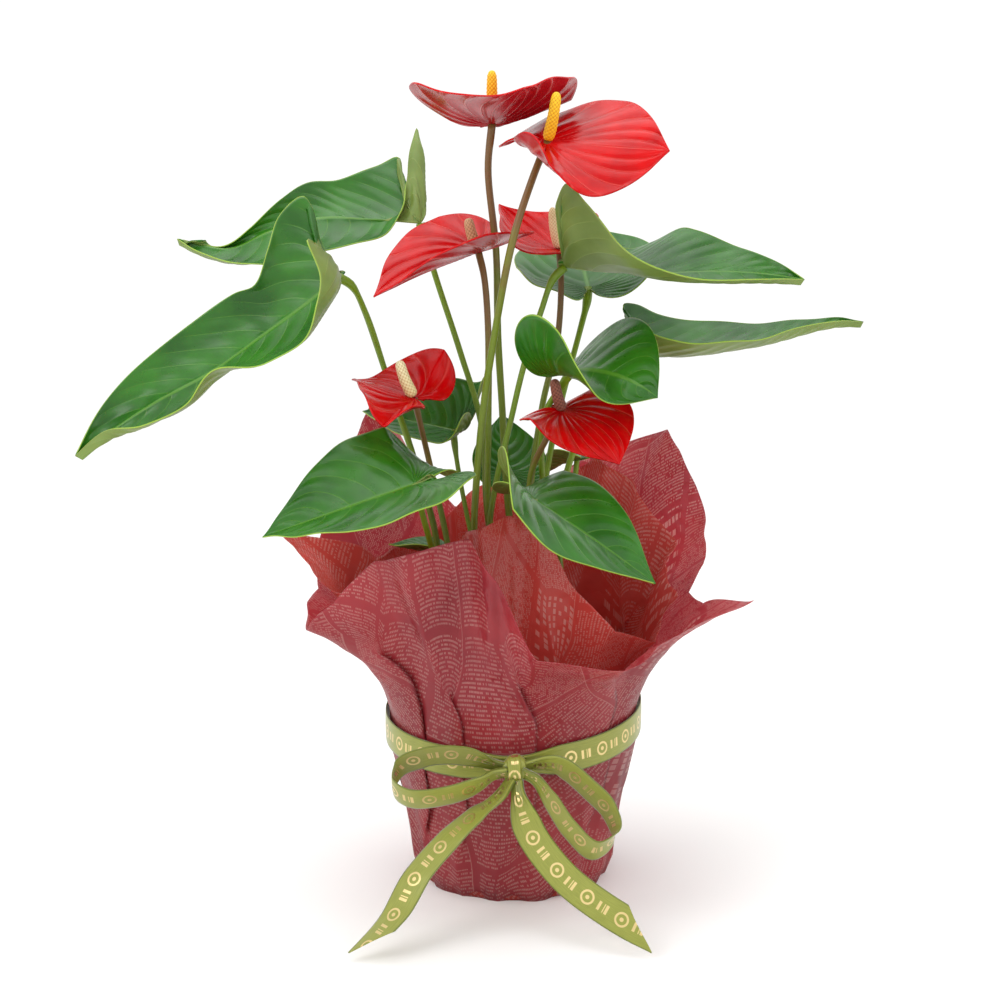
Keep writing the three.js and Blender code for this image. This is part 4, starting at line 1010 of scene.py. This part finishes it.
def make_mix():
    """Potting mix: a plug that fills the pot, with a top of lumps a millimetre or two high."""
    radius = POT_BASE - POT_WALL + (POT_RIM - POT_LIP - POT_BASE) * (1 - 10 / POT_HEIGHT) - 0.9
    rings = radius * np.linspace(0, 1, 70)
    sides = [(0, 5), (POT_BASE - 2, 5), (radius, POT_HEIGHT - 12)]
    profile = np.array(sides + [(r, POT_HEIGHT - 10.6) for r in rings[::-1]]) + [0, POT_FLOOR]
    grid = turned(profile, 200)
    top = np.arange(len(profile)) >= 4
    lumps = 0.7 * waves(grid, 9, 3) + 0.5 * waves(grid, 4, 4) - 0.4
    grid[..., 2] += np.clip(lumps, -2, 0.9) * top[:, None]
    piece = make_mesh("potting_mix", grid, [PEAT], loop=True)
    hand_in(piece, "mix", "potting_mix")


def make_bark():
    """Bark chips over the mix: flat six-sided bits of 3 to 8 mm, scattered, turned and tipped."""
    random = np.random.default_rng(11)
    count = 170
    corner = np.radians(np.arange(6) * 60)
    ring = np.stack([np.cos(corner), 0.6 * np.sin(corner), 0 * corner], axis=-1)
    ring = ring * random.uniform(0.7, 1.15, (count, 6, 1))
    size = random.uniform(1.6, 4.0, (count, 1, 1))
    lower = ring * size + np.array([0, 0, -0.5])
    upper = ring * size * 0.9 + np.array([0, 0, 0.6])
    centre_low = lower.mean(axis=1, keepdims=True)
    centre_high = upper.mean(axis=1, keepdims=True)
    chip = np.concatenate([lower, upper, centre_low, centre_high], axis=1)
    turn = random.uniform(0, TAU, count)
    tip = random.uniform(-0.35, 0.35, count)
    c, s, ct, st = np.cos(turn), np.sin(turn), np.cos(tip), np.sin(tip)
    zero = 0 * turn
    spin = [[c, -s * ct, s * st], [s, c * ct, -c * st], [zero, st, ct]]
    spin = np.array(spin).transpose(2, 0, 1)
    chip = chip @ spin.transpose(0, 2, 1)
    reach = 50 * np.sqrt(random.uniform(0.0, 1, count))
    bearing = random.uniform(0, TAU, count)
    place = np.stack([reach * np.cos(bearing), reach * np.sin(bearing), zero + MIX_TOP - 0.6], -1)
    points = (chip + place[:, None]).reshape(-1, 3)
    k = np.arange(6)
    wall = np.stack([k, (k + 1) % 6, 6 + (k + 1) % 6, 6 + k], axis=-1)
    bottom = np.stack([0 * k + 12, (k + 1) % 6, k], axis=-1)
    top = np.stack([0 * k + 13, 6 + k, 6 + (k + 1) % 6], axis=-1)
    start = 14 * np.arange(count)[:, None, None]
    faces = [*(wall + start).reshape(-1, 4).tolist(), *(bottom + start).reshape(-1, 3).tolist()]
    faces += (top + start).reshape(-1, 3).tolist()
    mesh = bpy.data.meshes.new("bark_chips")
    mesh.from_pydata((points * MM).tolist(), [], faces)
    mesh.materials.append(BARK)
    piece = bpy.data.objects.new("bark_chips", mesh)
    bpy.context.collection.objects.link(piece)
    hand_in(piece, "mix", "potting_mix")


def make_crown(side):
    """The crown of a young plant: a low fibrous knob that the stalks crowd out of.

    A dome whose radius carries upright ridges, each a cosine round it, roughened by slow waves.
    """
    x, y = CROWNS[side]
    up = np.linspace(0, 1, 40)
    shape = np.stack([13.2 * np.cos(up**2.2 * np.pi / 2) ** 0.45, CROWN_HEIGHT * up**0.8], axis=-1)
    profile = np.concatenate([[[0, 0]], shape])
    grid = turned(profile, 96)
    angle = np.arctan2(grid[..., 1], grid[..., 0])
    ridges = 1 - 0.05 * (1 + np.cos(11 * angle)) * np.linspace(0, 1, 41)[:, None]
    grid[..., :2] *= (ridges * (1 + 0.02 * waves(grid, 6, 5)))[..., None]
    grid = grid + [x, y, MIX_TOP + CLEAR]
    piece = make_mesh(f"crown_{side}", grid, [CROWN_SKIN], loop=True)
    hand_in(piece, "crown", f"crown_{side}")


SHEATHS = [
    {"crown": "left", "foot": 78, "top": (-25, 6, 152), "radius": 2.2},
    {"crown": "middle", "foot": 20, "top": (11, 17, 158), "radius": 2.0},
    {"crown": "right", "foot": 300, "top": (27, -29, 146), "radius": 2.0},
]


def make_sheath(name, spec):
    """A papery sheath: a spike that swells just above its foot and thins to a point."""
    foot = foot_of(spec)
    share = np.linspace(0, 1, 40)
    path = foot + (np.array(spec["top"]) - foot) * share[:, None]
    radius = spec["radius"] * np.interp(share, [0, 0.08, 0.6, 1], [0, 0.95, 0.72, 0])
    angle = np.linspace(0, TAU, 24, endpoint=False)
    grid = tube(path, np.ones(40), 24)
    pleat = 1 - 0.18 * (1 + np.cos(5 * angle)) / 2
    grid = path[:, None] + (grid - path[:, None]) * (radius[:, None] * pleat)[..., None]
    piece = make_mesh(name, grid, [SHEATH_SKIN], loop=True)
    hand_in(piece, "sheath", name)


make_pot()
make_mix()
make_bark()
for side in CROWNS:
    make_crown(side)
for number, sheath in enumerate(SHEATHS, 1):
    make_sheath(f"sheath_{number}", sheath)

# ---------------------------------------------------------------- wrapping film

# each sheet's free edge, going round from +X: bearing, reach past the sleeve, and lean from upright
OUTER_EDGE = [
    (5, 60, 32), (20, 92, 34), (40, 138, 22), (68, 110, 17), (90, 92, 18), (112, 88, 16),
    (145, 154, 13), (165, 102, 22), (185, 76, 34), (208, 76, 45), (218, 84, 34), (228, 102, 23),
    (255, 108, 13), (264, 92, 18), (276, 62, 38), (300, 58, 44), (318, 70, 42), (332, 94, 46),
    (348, 66, 36),
]
INNER_EDGE = [
    (8, 76, 20), (30, 104, 13), (52, 114, 8), (78, 92, 7), (100, 100, 9), (140, 74, 6),
    (170, 76, 15), (190, 112, 31), (206, 84, 32), (222, 70, 12), (248, 104, 4), (266, 112, 2),
    (281, 110, 1), (293, 80, 8), (306, 58, 24), (330, 48, 32), (348, 62, 24),
]
# each sheet's pleats: bearing, width laid over, and the share of the flare where it has opened
OUTER_PLEATS = [
    (12, 16, 0.7), (52, 17, 0.5), (88, 16, 0.6), (124, 17, 0.6), (172, 17, 0.6), (220, 18, 0.95),
    (243, 11, 0.4), (272, 17, 0.8), (310, 16, 0.7), (340, 14, 0.8),
]
INNER_PLEATS = [
    (20, 17, 0.6), (70, 17, 0.5), (115, 16, 0.6), (158, 16, 0.6), (200, 17, 0.7), (236, 14, 0.6),
    (262, 12, 0.5), (290, 14, 0.7), (325, 15, 0.6), (352, 11, 0.6),
]


def station(edge, bearing, column, eased):
    """A column of an edge table at any bearing, between stations evenly or eased."""
    table = np.array(edge, float)
    table = np.vstack([table[-1] - [360, 0, 0], table, table[0] + [360, 0, 0]])
    turn = bearing % 360
    after = np.clip(np.searchsorted(table[:, 0], turn, side="right"), 1, len(table) - 1)
    low, high = table[after - 1], table[after]
    t = (turn - low[..., 0]) / (high[..., 0] - low[..., 0])
    t = t * t * (3 - 2 * t) if eased else t
    return low[..., column] + (high[..., column] - low[..., column]) * t


def pleat_columns(pleats, panel=30, lap=7):
    """Columns round a gathered sheet: bearing while folded, bearing once opened, layer and hold.

    From one pleat to the next a panel runs from the bottom layer (-2) up to the top one (0); at
    the pleat the sheet turns back under itself down to -2, so three layers lie over each other.
    """
    parts = []
    for k, (bearing, width, hold) in enumerate(pleats):
        after, next_width, next_hold = pleats[(k + 1) % len(pleats)]
        after += 360 if k + 1 == len(pleats) else 0
        half, next_half = np.degrees([width, next_width]) / TIE_RADIUS / 2
        p = np.linspace(0, 1, panel)
        q = np.linspace(0, 1, lap + 2)[1:-1]
        laid = (bearing - half) + (after + next_half - bearing + half) * p
        opened = (bearing + half) + (after - next_half - bearing - half) * p
        climb = -2 * (1 - ease(p, 0.3, 1))
        parts.append(np.stack([laid, opened, climb, hold + (next_hold - hold) * p]))
        back = after + next_half - 2 * next_half * q
        forth = after - next_half + 2 * next_half * q
        parts.append(np.stack([back, forth, -2 * q, 0 * q + next_hold]))
    return np.concatenate(parts, axis=1)


def creases(bearing, counts, seed):
    """Folds that run up the film: a mean of sharp-ridged waves, each with a count round it."""
    phase = np.random.default_rng(seed).uniform(0, TAU, len(counts))
    angle = np.radians(bearing)[..., None] * np.array(counts) / 2 + phase
    return (1 - 2 * np.abs(np.sin(angle))).mean(axis=-1)


def film_profile(edge, bearing, depth, layer_depth):
    """Radius and height up the film at bearings, a grid whose rows go from its middle to its edge.

    Flat under the pot, round the corner, up a wall that widens to the tie, straight through the
    sleeve, and out along the flare, whose lean grows from four tenths of itself to all of it.
    """
    tie = TIE_HEIGHT + TIE_RISE * np.sin(np.radians(bearing)) + TIE_LEAN * np.cos(np.radians(bearing))
    inside = depth + layer_depth
    low_r, low_z = POT_BASE + 10, 10.0
    base_r = UNDER * (POT_BASE + 5 - depth)
    wall_r = low_r + (TIE_RADIUS - low_r) * WALL - inside - depth * 4 * np.sin(np.pi * WALL)
    wall_z = low_z + (tie - SLEEVE - low_z) * WALL
    sleeve_r = TIE_RADIUS - inside - 0.9 * np.sin(np.pi * THROUGH)
    length = station(edge, bearing, 1, False) * FLARE
    lean = np.radians(station(edge, bearing, 2, True) * (0.4 + 0.6 * FLARE))
    flare_r = TIE_RADIUS + length * np.sin(lean) - inside * np.cos(lean)
    flare_z = tie + SLEEVE + length * np.cos(lean) + depth * np.sin(lean)
    below = [PART == 0, PART == 1, PART == 2]
    radius = np.select(below, [base_r, wall_r, sleeve_r], flare_r)
    return radius, np.select(below, [depth, wall_z, tie - SLEEVE + 2 * SLEEVE * THROUGH], flare_z)


# rows of the film: how many lie under the pot, up the wall, through the sleeve and up the flare
ROWS = np.array([8, 26, 8, 45])
PART = np.repeat([0, 1, 2, 3], ROWS)[:, None]
ROW = np.arange(ROWS.sum())[:, None]
UNDER = np.clip(ROW / (ROWS[0] - 1), 0, 1)
WALL = np.clip((ROW - ROWS[0]) / (ROWS[1] - 1), 0, 1)
THROUGH = np.clip((ROW - ROWS[:2].sum() + 1) / ROWS[2], 0, 1)
FLARE = np.clip((ROW - ROWS[:3].sum() + 1) / ROWS[3], 0, 1)


# each sheet: its flat square, how far it lies inside the outer face, the room its folded layers
# take, its steps between layers and the swing of its creases on the wall, and its material
FILMS = {
    "film_outer": {
        "edge": OUTER_EDGE, "pleats": OUTER_PLEATS, "square": OUTER_SQUARE, "depth": 0.05,
        "layers": 0.2, "wall_step": 0.6, "facet": 3.2, "seed": 21, "material": OUTER_FILM,
    },
    "film_inner": {
        "edge": INNER_EDGE, "pleats": INNER_PLEATS, "square": INNER_SQUARE, "depth": 0.85,
        "layers": 3.4, "wall_step": 0.0, "facet": 0.6, "seed": 34, "material": INNER_FILM,
    },
}


def make_film(name, film):
    """One gathered square of film, folded, creased and flared, with its flat layout as a UV map.

    Pleats lie folded at the tie and open towards the free edge and the ground; creases and slow
    waves move the film in and out, most at its edge and not at all under the ribbon.
    """
    seed = film["seed"]
    laid, opened, layer, hold = pleat_columns(film["pleats"])
    opening = np.maximum(1 - ease(WALL, 0, 0.8), ease(FLARE, 0.15 * hold, hold))
    bearing = laid + (opened - laid) * opening
    radius, height = film_profile(film["edge"], bearing, film["depth"], film["layers"])
    standing = PART > 0
    step = 0.5 + 2.4 * FLARE + film["wall_step"] * np.sin(np.pi * WALL)
    swing = film["facet"] * UNDER * (1 - ease(WALL, 0.4, 1)) + 4.5 * FLARE * ease(FLARE, 0, 0.6)
    crease = creases(bearing, [7, 11, 16], seed) * swing
    radius = radius + standing * layer * step + crease * np.where(crease > 0, 0.5, 1.0)
    spread = np.radians(bearing)
    points = np.stack([radius * np.cos(spread), radius * np.sin(spread), height], axis=-1)
    slow = 1.2 * waves(points, 60, seed) * (0.2 + FLARE)
    slow = slow + 0.35 * waves(points, 16, seed + 1) * (0.4 + FLARE)
    points[..., 0] += standing * slow * np.cos(spread)
    points[..., 1] += standing * slow * np.sin(spread)
    points[..., 2] += standing * FLARE * 0.8 * waves(points, 50, seed + 2)
    run = np.linalg.norm(np.diff(points, axis=0), axis=-1)
    run = np.concatenate([0 * run[:1], np.cumsum(run, axis=0)])
    out = np.radians(opened) + 0 * run
    flat = np.stack([run * np.cos(out), run * np.sin(out)], axis=-1)
    grid = points[:, ::-1]
    piece = make_mesh(name, grid, [film["material"]], {"flat": flat[:, ::-1]}, loop=True)
    sheet = piece.modifiers.new("thickness", "SOLIDIFY")
    sheet.thickness = 0.12 * MM
    sheet.offset = -1
    hand_in(piece, name, name)


for name, film in FILMS.items():
    make_film(name, film)

# ---------------------------------------------------------------- ribbon


def strip_grid(path, across, half_width, gather, cup, cut):
    """A ribbon along a path: rows along it and 15 points across, which lie along the across way.

    gather from 0 to 1 crimps it into five small pleats, cup bows it by that many millimetres, and
    where cut grows from 0 to 1 the far edge comes across to the near one, as a slanting end does.
    """
    tangent = unit(np.gradient(path, axis=0))
    face = unit(np.cross(tangent, across))
    wide = np.cross(face, tangent)
    v = -1 + 2 * np.linspace(0, 1, 15) * (1 - cut[:, None])
    rise = gather[:, None] * 1.1 * np.cos(5 * np.pi * v) + cup * (1 - v**2)
    sideways = wide[:, None] * (half_width[:, None] * v)[..., None]
    return path[:, None] + sideways + face[:, None] * rise[..., None]


def make_strip(name, path, across, half_width, gather, cup, cut):
    """A piece of satin ribbon made from a strip, with millimetres along and across as its UV map."""
    grid = strip_grid(path, across, half_width, gather, cup, cut)
    run = np.concatenate([[0], np.cumsum(np.linalg.norm(np.diff(path, axis=0), axis=1))])
    v = RIBBON_WIDTH * (np.linspace(0, 1, 15) * (1 - cut[:, None]) - 0.5)
    uv = np.stack([run[:, None] + 0 * v, v], axis=-1)
    piece = make_mesh(name, grid, [RIBBON], {"strip": uv})
    cloth = piece.modifiers.new("thickness", "SOLIDIFY")
    cloth.thickness = RIBBON_THICK * MM
    cloth.offset = 0
    hand_in(piece, "ribbon", name)


def make_band():
    """The band of ribbon pulled tight round the film, climbing to the back, crimped at the knot."""
    bearing = np.linspace(-90, 270, 300)
    angle = np.radians(bearing)
    radius = TIE_RADIUS + CLEAR + 0.5
    height = TIE_HEIGHT + TIE_RISE * np.sin(angle) + TIE_LEAN * np.cos(angle)
    path = np.stack([radius * np.cos(angle), radius * np.sin(angle), height], axis=-1)
    from_knot = np.minimum(bearing + 90, 270 - bearing)
    crimp = 1 - ease(from_knot, 3, 22)
    half_width = RIBBON_WIDTH / 2 * (1 - 0.42 * crimp)
    whole = 0 * crimp
    make_strip("ribbon_band", path, (0, 0, 1), half_width, 0.6 * crimp, 0.25, whole)


def make_knot():
    """The knot: a turn of ribbon pulled round the middle of the bow, pleated up and down.

    A rounded cushion shape, its front rippled by cosine pleats that fade towards top and bottom.
    """
    up = np.linspace(-1, 1, 48)
    angle = np.linspace(0, TAU, 72, endpoint=False)
    ring = np.sqrt(np.clip(1 - np.abs(up) ** 2.6, 0, 1))[:, None]
    x = ring * np.sign(np.cos(angle)) * np.abs(np.cos(angle)) ** 0.8
    y = ring * np.sign(np.sin(angle)) * np.abs(np.sin(angle)) ** 0.8
    ripple = 1 + 0.09 * np.cos(4.5 * np.pi * x + 1.1 * up[:, None]) * ring
    grid = np.stack([5.6 * x * ripple, 5.2 * y * ripple, 7.2 * up[:, None] * (1 + 0.1 * x)], -1)
    grid = grid + KNOT
    uv = np.stack([7.2 * up[:, None] + 12 + 0 * x, 7 * x], axis=-1)
    piece = make_mesh("ribbon_knot", grid, [RIBBON], {"strip": uv}, loop=True)
    hand_in(piece, "ribbon", "ribbon_knot")


# bends of each loop and tail from the middle of the knot, and the way that the ribbon's width lies
RIBBON_ENDS = {
    "loop_left": (
        (0, -0.6, 0.8),
        [(-3.5, 0, 1), (-10, 0, 2), (-25, -4, 7), (-42, -4, 7), (-55, -2, 1), (-58, -7, -6),
         (-50, -13, -10), (-32, -14, -9), (-17, -11, -5), (-10.5, -6, -2), (-4, -3, -1)],
    ),
    "loop_right": (
        (0.2, -0.55, 0.8),
        [(3.5, 0, 1), (10, 0, 2), (22, -5, 2), (35, -9, -7), (45, -11, -17), (48, -16, -27),
         (38, -21, -33), (26, -18, -24), (17, -13, -12), (10.5, -7, -4), (4, -3, -1)],
    ),
    "tail_left": (
        (0.86, 0, 0.5),
        [(-2, -3.5, -4.5), (-8, -11, -11), (-19, -15.5, -18.5), (-31, -21, -27.5), (-45, -29, -41),
         (-56, -40, -58), (-72, -53, -73)],
    ),
    "tail_right": (
        (0.7, 0, 0.7),
        [(1, -3.5, -5), (2, -9, -13), (8, -15, -28), (22, -25, -43), (38, -34, -54), (53, -41, -62),
         (66, -45, -67)],
    ),
}
TAIL_CUT = 19.0  # how far along a tail its slanting end reaches


def make_ribbon_end(end):
    """A loop, gathered at both ends, or a tail, gathered at the knot and cut on the slant."""
    across, bends = RIBBON_ENDS[end]
    share = np.linspace(0, 1, 140)
    path = smooth_path(np.array(bends) + KNOT, share)
    length = np.linalg.norm(np.diff(path, axis=0), axis=1).sum()
    looped = "loop" in end
    from_end = np.minimum(share, 1 - share) if looped else share
    crimp = 1 - ease(from_end * length, 2, 24)
    half_width = RIBBON_WIDTH / 2 * (1 - 0.6 * crimp)
    cut = share * 0 if looped else 0.97 * np.clip(1 - (1 - share) * length / TAIL_CUT, 0, 1)
    path = path + [0, 0, 0.6] * np.sin(share * 9)[:, None]
    name = f"ribbon_{end}"
    make_strip(name, path, across, half_width, crimp, 0.5, cut)


make_band()
make_knot()
for end in RIBBON_ENDS:
    make_ribbon_end(end)

# ---------------------------------------------------------------- floor

FLOOR_REACH, FLOOR_LEVEL = 3000, -0.05
floor_x, floor_y = np.meshgrid([-FLOOR_REACH, FLOOR_REACH], [-FLOOR_REACH, FLOOR_REACH])
floor_grid = np.stack([floor_x, floor_y, 0 * floor_x + FLOOR_LEVEL], axis=-1)
floor = make_mesh("floor", floor_grid, [FLOOR_CARD])
